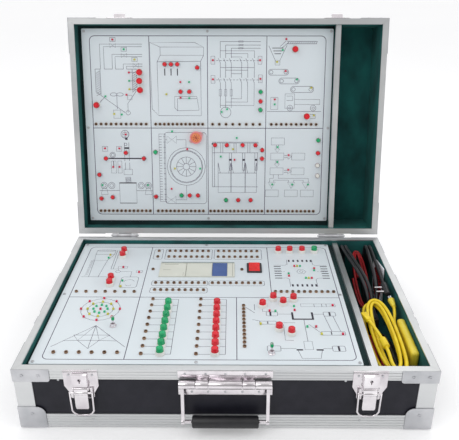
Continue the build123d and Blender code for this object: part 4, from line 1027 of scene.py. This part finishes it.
hank = (
    (data_wide + 0.5, 128.0, data_low), (data_wide, data_front, data_low),
    (-data_wide, data_front, data_low), (-data_wide, data_rear, data_low),
    (data_slim, data_rear, data_low), (data_slim, data_front + data_inset, data_low),
    (-data_inner, data_front + data_inset, data_low), (-data_inner, data_rear - data_inset, data_high),
    (data_slim, data_rear - data_inset, data_high), (data_slim, data_front + data_inset, data_high),
    (-data_slim, data_front + data_inset, data_high), (-data_slim, data_rear, data_high),
    (data_wide, data_rear, data_high), (data_wide, data_front, data_high),
    (-5.0, data_front, data_over), (-3.0, 62.0, data_over), (-9.0, 104.0, data_over),
)
plug_mouth = (10.3, 127.4, 92.6)
data_route = [connector_place, (56.5, 156.0, 87.0), *[lean(*spot) for spot in hank], plug_mouth]

# %% What the data cable carries
toward_rear = stand_at(*connector_place, -90, "X")
yellow_facts = ("root", "cord_yellow", "data_cable_ends")
nickel_facts = ("root", "nickel", "data_cable_ends")
shell_wide, shell_long = 5.5, 20
round_blank("connector", shell_wide, 0, shell_long, 24)
pick("FACE", lambda face: face.normal.z < -0.9)
bpy.ops.transform.resize(value=(0.6, 0.6, 1))
round_rims(0.8, 3, shell_long)
shell = stand_copies([done(box_yellow)], "round_connector", [toward_rear], *yellow_facts)
barrel_wide, barrel_low, barrel_end = 4.3, 19.5, 27
round_blank("barrel", barrel_wide, barrel_low, barrel_end, 24)
sink(barrel_end, 0.5, 3)
tip = stand_copies([done(chrome_with_painted_reflection)], "connector_barrel", [toward_rear], *nickel_facts)

block_blank("small_plug", (-4.2, -9.8, 89.4), (4.2, 9.8, 95.8))
pick("FACE", lambda face: face.normal.y < -0.9)
bpy.ops.mesh.inset(thickness=1.2 * mm)
bpy.ops.mesh.extrude_region_move(TRANSFORM_OT_translate={"value": (0, -2.5 * mm, 0)})
round_corners(0.8)
small_plug = stand_copies([done(cord_yellow)], "small_plug", [stand_at(7.5, 137.0, 0, 16)], *yellow_facts)

block_blank("converter", (-6.1, -43.8, 55.1), (6.1, 43.8, 90.9))
round_corners(4.5, 5)
stand_copies([done(box_yellow)], "converter", [stand_at(60.25, 94.0, 0)], *yellow_facts)

# %% Inline filter on the upper strand
data_line = smooth_line("data_line", data_route, 0)
line_mesh = bpy.data.meshes.new_from_object(data_line)
spots = [v.co.copy() for v in line_mesh.vertices]
bead_middle = place(*lean(-5.0, 76.0, data_over))
nearest = min(range(1, len(spots) - 1), key=lambda k: (spots[k] - bead_middle).length)
along = (spots[nearest + 1] - spots[nearest - 1]).normalized()
bead_stand = Matrix.Translation(spots[nearest]) @ along.to_track_quat("Z", "Y").to_matrix().to_4x4()
bpy.data.objects.remove(data_line)
filter_wide, filter_half = 5.2, 10
round_blank("filter", filter_wide, -filter_half, filter_half, 24)
round_rims(2.4, 4, -filter_half, filter_half)
pick("FACE", lambda face: abs(face.normal.z) > 0.99)
bpy.ops.mesh.extrude_region_move()
bpy.ops.transform.resize(value=(0.95, 0.95, 1.15))
bead = stand_copies([done(cord_yellow)], "inline_filter", [bead_stand], "root", "cord_yellow")
free_cord(
    "data_lead", data_route, 2.5, cord_yellow, "data_cable", "cord_yellow", 1.397, far_end="plug",
    stiffness="medium", lay="coiled", with_pieces=[small_plug, bead, shell, tip],
)

# %% [markdown]
# ## Patch leads
#
# Four thin leads keep the sockets' colours: two stand in loops at the front under the hank, and two
# lie in flat coils that lean on the rear wall. Each coil's turns follow one formula.

# %% Two tall coils and two flat ones
lead_radius, lead_low, lead_top = 2.0, 14.2, 66.0
coil_front, coil_rear, coil_start, coil_end = 20.0, 152.0, 75.0, 50.0


def tall_coil(*loops):
    """Route of a coil that stands on edge, each loop given by its place across and its top."""
    route = [(loops[0][0], coil_start, lead_low)]
    for x, top in loops:
        if x > loops[0][0]:
            route.append((x, coil_front, lead_low))
        route += [(x, coil_rear, lead_low), (x, coil_rear, top), (x, coil_front, top)]
    return route[:-1] + [(x, coil_end, top)]


def flat_coil(low):
    """Route of a flat coil of two turns that leans back, with its end inside."""
    x, half, pitch, front, rear, rise = 33.0, 13.0, 4.8, 240.0, 371.0, 42.0
    slope = rise / (rear - front)
    inner = half - pitch
    corners = [
        (x - half, rear - 65), (x - half, front), (x + half, front), (x + half, rear),
        (x - inner, rear), (x - inner, front + pitch), (x + inner, front + pitch),
        (x + inner, rear - pitch), (x - inner + pitch, rear - pitch), (x - inner + pitch, front + 70),
    ]
    return [(px, py, low + slope * (py - front)) for px, py in corners]


leads = [
    ("red_lead_front", cord_red, 0.857, tall_coil((7.5, lead_top), (13.0, lead_top), (18.5, lead_top))),
    ("black_lead_front", cord_black, 0.877, tall_coil((30.5, lead_top), (38.0, lead_top), (50.0, 52.0))),
    ("black_lead_rear", cord_black, 0.570, flat_coil(34.0)),
    ("red_lead_rear", cord_red, 0.570, flat_coil(39.2)),
]
for name, material, length, route in leads:
    slot = "cord_red" if "red" in name else "cord_black"
    free_cord(
        name, route, lead_radius, material, "test_leads", slot, length, far_end="bare", stiffness="limp",
        lay="coiled",
    )

# %% [markdown]
# ## Disc in its sleeve
#
# A square paper sleeve leans on the right wall with a dark red disc showing on its inner side. The
# sleeve is a bevelled plate, and the disc is a thin cylinder with its hub pushed in.

# %% Sleeve and disc
sleeve_middle, sleeve_half, sleeve_thick, sleeve_turn = (63.5, 300.0, 57.0), 36.0, 2.2, 12
disc_wide, disc_low, disc_high, hub_ring, hub_low, hub_high = 30, 0.8, 1.6, 9, 0.9, 1.3
facing_left = Matrix(((0, 0, -1, 0), (1, 0, 0, 0), (0, -1, 0, 0), (0, 0, 0, 1)))
turned = stand_at(*sleeve_middle) @ facing_left @ Matrix.Rotation(radians(sleeve_turn), 4, "Z")
edge_corner = Vector((sleeve_half, sleeve_half, sleeve_thick / 2))
block_blank("sleeve", -edge_corner, edge_corner)
round_uprights(1.5, 2)
stand_copies([done(paper)], "paper_sleeve", [turned], "root", "paper_white", "disc_sleeve")
round_blank("disc", disc_wide, disc_low, disc_high, 64)
sink(disc_high, disc_wide - hub_ring, 0.4)
stand_copies([done(disc_red)], "red_disc", [turned], "root", "paper_white", "disc_sleeve")
round_blank("hub", hub_ring - 0.2, hub_low, hub_high, 32)
stand_copies([done(rubber)], "disc_hub", [turned], "root", "rubber_black")

# %% [markdown]
# ## Printed drawings
#
# Each bay of the panels has a small line drawing of a plant that the controller runs: a filling
# tank, a drinks machine, a motor circuit, a sorting line. On the real panels they are screen
# printed. Here each line is a flattened ridge a fraction of a millimetre high, drawn as a curve
# with a bevel and turned into a mesh, so it follows the panel and needs no image. The places are
# millimetres right and down from the panel's upper-left corner. All lettering is left out.

# %% Shapes on a panel


def box(left, top, right, bottom):
    """A closed rectangle."""
    return [(left, top), (right, top), (right, bottom), (left, bottom), (left, top)]


def lines(*ends):
    """Straight strokes, each given by the x and y of its two ends."""
    return [[(x0, y0), (x1, y1)] for x0, y0, x1, y1 in ends]


def uprights(top, bottom, *places):
    """Upright strokes between two heights."""
    return [[(x, top), (x, bottom)] for x in places]


def levels(left, right, *heights):
    """Level strokes between two sides."""
    return [[(left, y), (right, y)] for y in heights]


def boxes(wide, high, *corners):
    """Equal rectangles by their upper-left corners."""
    return [box(x, y, x + wide, y + high) for x, y in corners]


def arc(x, y, radius, start=0, turn=360):
    """An arc or a whole circle, counter-clockwise from the right."""
    steps = max(4, int(abs(turn) / 18))
    rays = [radians(start + turn * k / steps) for k in range(steps + 1)]
    return [(x + radius * cos(ray), y - radius * sin(ray)) for ray in rays]


def circles(radius, *middles):
    """Equal circles by their middles."""
    return [arc(x, y, radius) for x, y in middles]


def oval(x, y, wide, high):
    """A whole ellipse."""
    return [(x + px * wide / 2, y + py * high / 2) for px, py in arc(0, 0, 1)]


def rounded(left, top, right, bottom, radius):
    """A closed rectangle with round corners."""
    corners = (
        (right - radius, top + radius), (left + radius, top + radius),
        (left + radius, bottom - radius), (right - radius, bottom - radius),
    )
    shape = [spot for k, (x, y) in enumerate(corners) for spot in arc(x, y, radius, 90 * k, 90)]
    return shape + shape[:1]


def valve(x, y, wide, high):
    """The bow-tie sign of a valve."""
    left, right, top, bottom = x - wide / 2, x + wide / 2, y - high / 2, y + high / 2
    return [(left, top), (right, bottom), (right, top), (left, bottom), (left, top)]


def hatch(start, end, count, slant):
    """Short parallel strokes along a line."""
    steps = [k / (count - 1) for k in range(count)]
    feet = [(start[0] + t * (end[0] - start[0]), start[1] + t * (end[1] - start[1])) for t in steps]
    return [[(x, y), (x + slant[0], y + slant[1])] for x, y in feet]


def dashes(x0, x1, y, count):
    """A level broken line."""
    pitch = (x1 - x0) / count
    return [[(x0 + k * pitch, y), (x0 + (k + 0.6) * pitch, y)] for k in range(count)]


# %% Draw strokes and solid bars
fine_line, frame_line, flatten = 0.7, 1.15, 0.35


def draw(name, tray_name, strokes, width=fine_line):
    """Thin raised lines on a panel's face, one for each stroke."""
    line = bpy.data.curves.new(name, "CURVE")
    line.dimensions = "3D"
    line.bevel_depth = width / 2 * mm
    line.bevel_resolution = 0
    line.use_fill_caps = True
    for stroke in strokes:
        closed = (Vector(stroke[0]) - Vector(stroke[-1])).length < 0.01
        spots = stroke[:-1] if closed else stroke
        spline = line.splines.new("POLY")
        spline.points.add(len(spots) - 1)
        for point, (x, y) in zip(spline.points, spots):
            point.co = (x * mm, -y * mm, 0, 1)
        spline.use_cyclic_u = closed
    work_on(bpy.data.objects.new(name, line))
    bpy.ops.object.convert(target="MESH")
    piece = bpy.context.object
    piece.data.transform(faces[tray_name] @ Matrix.Diagonal((1, 1, flatten, 1)))
    coat(piece, ink)
    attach(piece, riding[tray_name])


def marks(name, tray_name, *bars):
    """Solid dark bars on a panel's face."""
    thin_plates(name, tray_name, bars, dark_ink, "black_plastic", proud=0.12)


# %% Frames and bays of both panels
draw("lid_frame", "lid", [
    rounded(14, 12.5, 443, 343, 9), *levels(14, 443, 178), *uprights(12.5, 343, 122, 228, 336),
], frame_line)
draw("base_frame", "base", [
    rounded(14.5, 13, 449, 345, 9), *levels(14.5, 449, 186), *uprights(13, 345, 128.5),
    *uprights(13, 186, 341), *uprights(186, 345, 284),
], frame_line)
draw("socket_fields", "base", [
    rounded(134, 21, 150, 59, 3), rounded(155, 21, 240, 59, 3), rounded(244, 21, 330, 59, 3),
    rounded(142, 134, 236, 150, 4), rounded(238, 134, 331, 150, 4), rounded(142, 156, 236, 173, 4),
])

# %% Lid: a mixing tank with three inlets
pipes = ((32, 27), (39, 31.5), (54, 45), (59.5, 49), (74, 62), (79.5, 66))
tank = [[(x, 71), (x, y), (109, y)] for x, y in pipes]
tank += [
    [(22, 71), (22, 112), (75, 150)], [(98, 71), (98, 108), (80, 133), (80, 150)], arc(80, 150, 4),
    oval(54, 116.5, 12, 6), oval(66, 116.5, 12, 6), box(53, 145, 66, 160), box(80, 118, 88, 126),
]
tank += lines(
    (22, 71, 32, 71), (39, 71, 54, 71), (59.5, 71, 74, 71), (79.5, 71, 98, 71), (31, 71, 31, 117),
    (90, 71, 90, 113), (60, 117, 60, 143), (39, 120, 26, 133),
)
tank += [valve(x, y, 10, 7) for x, y in ((56, 29.5), (76, 47), (97, 64.5))]
tank += boxes(10, 7, (51, 15.5), (71, 32.5), (90, 50.5)) + levels(86, 97, 77, 92, 107)
tank += hatch((31, 74), (31, 114), 11, (-8, 5)) + hatch((98, 74), (98, 106), 9, (-7, 5))
draw("tank_drawing", "lid", tank)

# %% Lid: a vending machine
coin_slots = (149.7, 161.2, 172.9)
vending = [
    [(123, 24), (205, 24), (221, 32), (142, 32), (123, 24)], box(142, 32, 221, 46.5),
    [(123, 24), (142, 32), (142, 46.5), (136, 58), (137, 155), (125, 143), (123, 24)],
    [(221, 46.5), (215.5, 57), (216, 155), (137, 155)], [(136, 58), (215.5, 57)],
    [(167, 120), (208, 120), (212, 145), (172, 146), (167, 141), (167, 120)],
    [(172, 146), (172, 124), (208, 124)], *uprights(70, 83, *coin_slots),
]
draw("vending_drawing", "lid", vending)
marks("vending_slots", "lid", *[(x - 0.9, 70, x + 0.9, 82) for x in coin_slots])

# %% Lid: a motor's power circuit
phases, returns = (251.5, 261.3, 271.6), (313.8, 301.7, 290.6)
circuit = [arc(261.3, 149, 9.8), *dashes(238, 324, 55.7, 14), *dashes(238, 324, 90, 14)]
for x, top in zip(phases, (22.3, 28.5, 34)):
    circuit += [*levels(x, 325, top), *uprights(top, 51, x), [(x - 3.5, 52), (x, 60), (x, 86)]]
    circuit.append([(x - 3.5, 87), (x, 95), (x, 141)])
for x, top, bottom, back in zip(returns, (38.5, 43.4, 49.3), (136, 130, 124), phases):
    circuit += [[(back, top), (x, top), (x, 51)], [(x - 3.5, 52), (x, 60), (x, 86)]]
    circuit.append([(x - 3.5, 87), (x, 95), (x, bottom), (back, bottom)])
for start, end, y in zip(phases, returns, (68, 72.7, 79)):
    circuit += levels(start, end, y)
circuit += boxes(7, 14, (234.5, 48), (234.5, 82), (320.5, 48), (321.5, 81))
circuit += boxes(4, 12, *[(x - 2, 107) for x in phases])
circuit += boxes(8, 2.4, (285, 21.1), (285, 27.3), (285, 32.8))
draw("circuit_drawing", "lid", circuit)

# %% Lid: a hopper, belts and a lorry
wheels = ((380.3, 140.7), (423.4, 140.7))
loading = [
    [(339.6, 29.5), (352, 56.3), (359.7, 56.3), (372.6, 28.7)], box(351.5, 56.3, 360.2, 63.5),
    box(371, 115, 388.6, 141), box(388.6, 125, 435.3, 134.3), box(344.8, 121.4, 358, 143.3),
    [(374, 119), (385, 119), (385, 127), (374, 127)], box(416.4, 152.3, 428, 160),
    *levels(372.6, 427, 21.8, 26.1), *lines((360, 31, 371, 21), (364, 33, 375, 24), (338, 147, 438, 147)),
]
loading += circles(5.2, *wheels) + circles(2.2, *wheels)
for left, top, right, bottom in (
    (339.6, 71, 376.5, 81.5), (359, 86.6, 396.3, 97), (381, 101.5, 423, 112.4),
):
    middle = (top + bottom) / 2
    loading.append(rounded(left, top, right, bottom, 5))
    loading += circles(3.2, (left + 5.2, middle), (right - 5.2, middle))
loading += hatch((374, 26), (425, 26), 14, (2.5, -4))
draw("loading_drawing", "lid", loading)
marks("hopper_grit", "lid", (346, 33, 366, 34.2), (348, 38, 364, 39.2), (350, 43, 362, 44.2))

# %% Lid: a stamping press on rails
press = [
    arc(72.5, 189.6, 7.5), arc(73, 208.6, 2.5), arc(47.8, 228.6, 5.2), arc(47.8, 228.6, 3),
    box(68, 255.6, 84, 266), box(71, 271, 80.5, 281), box(44.5, 240, 53.5, 263),
    box(57, 240, 64.5, 263), box(58.5, 281.4, 91, 321.3),
    [(25.3, 293), (34, 293), (36, 304.5), (23, 304.5), (25.3, 293)],
    [(109, 293), (118, 293), (120, 304.5), (107, 304.5), (109, 293)],
]
press += uprights(205, 240, 70.5, 79) + uprights(243, 257, 71, 79.4)
press += lines((68, 190, 77, 189), (72.5, 182, 72.5, 197), (20, 297, 58, 297), (91, 297, 122, 297))
press += boxes(10, 9, (28.8, 212.5), (55.4, 212.5), (68.5, 186))
for radius in (6.2, 3.5):
    press += circles(radius, (29, 287), (43.4, 287), (100, 287), (113.6, 287))
press += hatch((71, 272), (79, 272), 5, (1.5, 8))
draw("press_drawing", "lid", press)
marks(
    "press_bars", "lid", (36.5, 234, 105.5, 236.2), (58.5, 281, 91, 283), (72.5, 196, 77, 200),
    (70, 214, 79.5, 217), (58.5, 320.6, 91, 321.8), (48.5, 240, 49.6, 252),
)

# %% Lid: a washing drum with its filling column
drum, hub_radius, spoke_end = (186.7, 250.5), 6, 18.5
washer = [
    *[arc(*drum, radius) for radius in (36, 31.2, 29.8, spoke_end, hub_radius)],
    box(136, 189, 148, 318), valve(160, 199.6, 18, 14), valve(157, 314.5, 18, 14),
    [(148, 199.6), (151, 199.6)], [(169, 199.6), (186.7, 199.6), (186.7, 214.5)],
    [(166, 314.5), (186.7, 314.5), (186.7, 286.5)], rounded(146, 186, 225, 322, 6),
]
for ray in [radians(30 * k) for k in range(12)]:
    washer.append([(drum[0] + r * cos(ray), drum[1] + r * sin(ray)) for r in (hub_radius, spoke_end)])
washer += hatch((136, 194), (136, 314), 25, (5, 0)) + hatch((148, 194), (148, 314), 13, (-4, 0))
draw("washer_drawing", "lid", washer)

# %% Lid: a plating line with its hoist
plating, hook_wide, hooks = levels(236, 323, 204, 205.6, 224, 289), 4.5, (268, 293, 316.5)
plating += uprights(213, 289, 236, 240) + uprights(206, 224, 252, 256, 277, 281, 303, 307)
for left, right in ((247, 271), (272, 298), (299, 320)):
    plating.append([(left, 243), (left, 300), (right, 300), (right, 243)])
    plating += lines((left, 243, left + 4, 262.5), (right, 243, right - 4, 262.5))
    plating += levels(left, right, 262.5)
for left in hooks:
    plating += uprights(224, 257, left, left + hook_wide) + levels(left, left + hook_wide, 257)
draw("plating_drawing", "lid", plating)
marks("plating_hooks", "lid", *[(x, 235.5, x + hook_wide, 239) for x in hooks], (235, 206, 241, 209))

# %% Lid: a sorting diagram
sorting = boxes(
    24.6, 13, (347, 196), (346.4, 224.3), (386, 224.3), (345.6, 252.4), (385.4, 252.4), (337.3, 295),
    (373.7, 295), (404.3, 295),
)
for x, top, bottom in ((358.5, 209, 223), (358.5, 237.4, 251)):
    neck = bottom - 6
    sorting.append([
        (x - 2, top), (x - 2, neck), (x - 5, neck), (x, bottom), (x + 5, neck), (x + 2, neck), (x + 2, top),
    ])
for y in (231, 259):
    sorting.append([
        (372, y - 2), (379, y - 2), (379, y - 5), (386, y), (379, y + 5), (379, y + 2), (372, y + 2),
    ])
sorting += [
    [(352, 265.5), (352, 272.5), (345, 272.5), (345, 280)],
    [(361.5, 265.5), (361.5, 272.5), (418.6, 272.5), (418.6, 280)],
    [(353, 280), (353, 276), (381, 276), (381, 280)], [(391, 280), (391, 276), (409, 276), (409, 280)],
]
sorting += [[(x - 7, 280), (x + 7, 280), (x, 292), (x - 7, 280)] for x in (349, 386, 413.7)]
draw("sorting_drawing", "lid", sorting)

# %% Base: a mixer, and the star of lamps over its tower
mixer = [
    [(28, 27), (62, 27), (62, 42), (53, 64), (30, 64), (28, 42), (28, 27)], arc(79, 104, 4),
    box(77, 86, 93, 93), box(111, 100, 121, 107), rounded(89, 122, 118, 157, 5), oval(45, 27, 34, 6),
    arc(103.5, 140, 9, 20, 140), arc(103.5, 146, 5, 200, 140), [(65, 95), (79, 95), (79, 100)],
    [(83, 104), (103, 104), (103, 122)], *uprights(25, 95, 65, 69),
]
mixer += lines((30, 64, 31.8, 122), (53, 64, 48, 122), (19, 122, 63, 122), (28, 42, 62, 42))
mixer += hatch((24, 66), (24, 118), 14, (5, -4))
draw("mixer_drawing", "base", mixer)
star = [arc(*star_middle, radius) for radius in star_rings[1:]]
star += lines((74, 265, 20.2, 317), (74, 265, 125.6, 317), (74, 265, 73.7, 321), (46.5, 289, 99.5, 289))
star += [
    [(46.5, 289), (55, 302), (74, 265)], [(99.5, 289), (86, 302), (74, 265)],
    [(55, 302), (73.7, 321), (86, 302)], [(34, 303), (55, 302), (86, 302), (112, 303)],
]
draw("star_drawing", "base", star)

# %% Base: leads from the sockets to the two banks of buttons
bus_top, bus_bottom, button_pitch = 192.6, 333, 17.55
rows = [bus_top + button_pitch * k for k in range(9)]
bus_lines = []
for socket_x, bus_x in ((150.4, 191.6), (227.1, 268)):
    bus_lines += levels(socket_x + 3, bus_x, *rows) + uprights(bus_top, bus_bottom, bus_x)
draw("button_leads", "base", bus_lines)

# %% Base: a road crossing
middle_x, middle_y = 396.6, 102
island = [(8, 0), (4, -7), (-4, -7), (-8, 0), (-4, 7), (4, 7), (8, 0)]
crossing = [arc(middle_x, middle_y, 3), [(middle_x + x, middle_y + y) for x, y in island]]
for kerb_x, bend_x, far_x in ((374, 370, 350), (419, 423, 443)):
    for far_y, bend_y, kerb_y in ((60, 76, 80), (152, 128, 124)):
        crossing.append([(kerb_x, far_y), (kerb_x, bend_y), (bend_x, kerb_y), (far_x, kerb_y)])
crossing += dashes(352, 370, middle_y, 4) + dashes(424, 442, middle_y, 4)
draw("crossing_drawing", "base", crossing)
side_rows = [84.5 + 8 * k for k in range(6)]
stripes = [(x - 1.5, y - 3.5, x + 1.5, y + 3.5) for y in (64, 148) for x in (378, 386, 394, 402, 410, 417)]
stripes += [(x, y - 1.1, x + 12, y + 1.1) for x in (350, 431) for y in side_rows]
marks("crossing_stripes", "base", *stripes)

# %% Base: cylinders and conveyors of an assembly line
cylinders = (
    (329.7, 227, 347, 238), (417.5, 227, 436, 238), (318.6, 252, 343.6, 260), (408, 278, 443, 287),
    (327, 313, 346, 325), (419, 313, 437, 325),
)
assembly = [
    box(385, 204, 439, 212), *uprights(204, 212, 406, 418, 425), box(380, 302, 392, 321),
    *[rounded(*cylinder, 2) for cylinder in cylinders], [(324, 214), (324, 226), (331, 226)],
    [(370, 323), (374, 341), (400, 341), (404, 323)], [(354, 260), (354, 300), (366, 300)],
]
assembly += lines(
    (418, 237, 424, 278), (431, 237, 437, 278), (347, 233, 368, 233), (401.5, 233, 417.5, 233),
    (346, 319, 368, 319), (406, 319, 419, 319), (298, 214, 312, 230), (312, 206, 312, 222),
    (343.6, 256, 372, 256), (386, 247, 386, 302), (308, 248, 320, 252), (392, 260, 408, 282),
)
draw("assembly_drawing", "base", assembly)
marks(
    "assembly_bars", "base", (368, 228, 371, 247), (368, 245, 401.5, 248), (398.5, 228, 401.5, 247),
    (334.6, 227.6, 337.4, 237.4), (425.6, 227.6, 428.4, 237.4), (426.6, 313.6, 429.4, 324.4),
    (368, 320.5, 377, 323.5), (396, 320.5, 406, 323.5), (330, 253, 331.5, 259), (422, 279, 423.5, 286),
)

# %% [markdown]
# ## Rivets and keyholes on the front
#
# The handle's plate and the latch plates are riveted on, and two more rivets each hold the laminate
# under the rim and the bottom rail. One small domed head serves for all, turned to face the front.
# Each lock has a round keyhole, shown as a black disc let into the lever's plate: a painted shade for the
# hole.

# %% Front rivets and keyholes
rivet_wide, rivet_low, rivet_high = 1.7, -0.2, 0.7
board_face, rim_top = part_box("base_box_panels")[0].y / mm, rim_high.z / mm
handle_flange, latch_sheet = 1.4, 1.2
latch_middles = [sum(v.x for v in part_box(f"latch_lever_{side}")) / 2 / mm for side in ("left", "right")]
keyhole_wide, keyhole_high, keyhole_floor, keyhole_drop = 2.1, 0.4, 5.0, 11.0


def facing_front(x, y, z):
    """A matrix at a point in millimetres whose Z axis points to the front."""
    return Matrix.Translation(Vector((x, y, z)) * mm) @ Matrix.Rotation(pi / 2, 4, "X")


rivets = [facing_front(x, front_face, 16) for x in (-182, 184)]
rivets += [facing_front(x, board_face, 83) for x in (-223, 160)]
for drop, row in ((5, (-53.5, -26, 0, 26, 53.5)), (35, (-45, -23, 0, 23, 45))):
    rivets += [facing_front(x, front_face - handle_flange, rim_top - drop) for x in row]
for middle in latch_middles:
    rivets += [facing_front(middle + x, front_face - latch_sheet, rim_top - 8) for x in (-16, 16)]
round_blank("rivet", rivet_wide, rivet_low, rivet_high, 12)
round_rims(0.45, 2, rivet_high)
stand_copies([done(corner_steel)], "front_rivets", rivets, "root", "steel")

# A black disc for each keyhole: painted shade in the hole.
round_blank("keyhole", keyhole_wide, 0, keyhole_high, 16)
keyhole_painted_shade = [facing_front(x, front_face - keyhole_floor, rim_top - keyhole_drop) for x in latch_middles]
stand_copies([done(rubber)], "keyhole_painted_shade", keyhole_painted_shade, "root", "black_plastic")
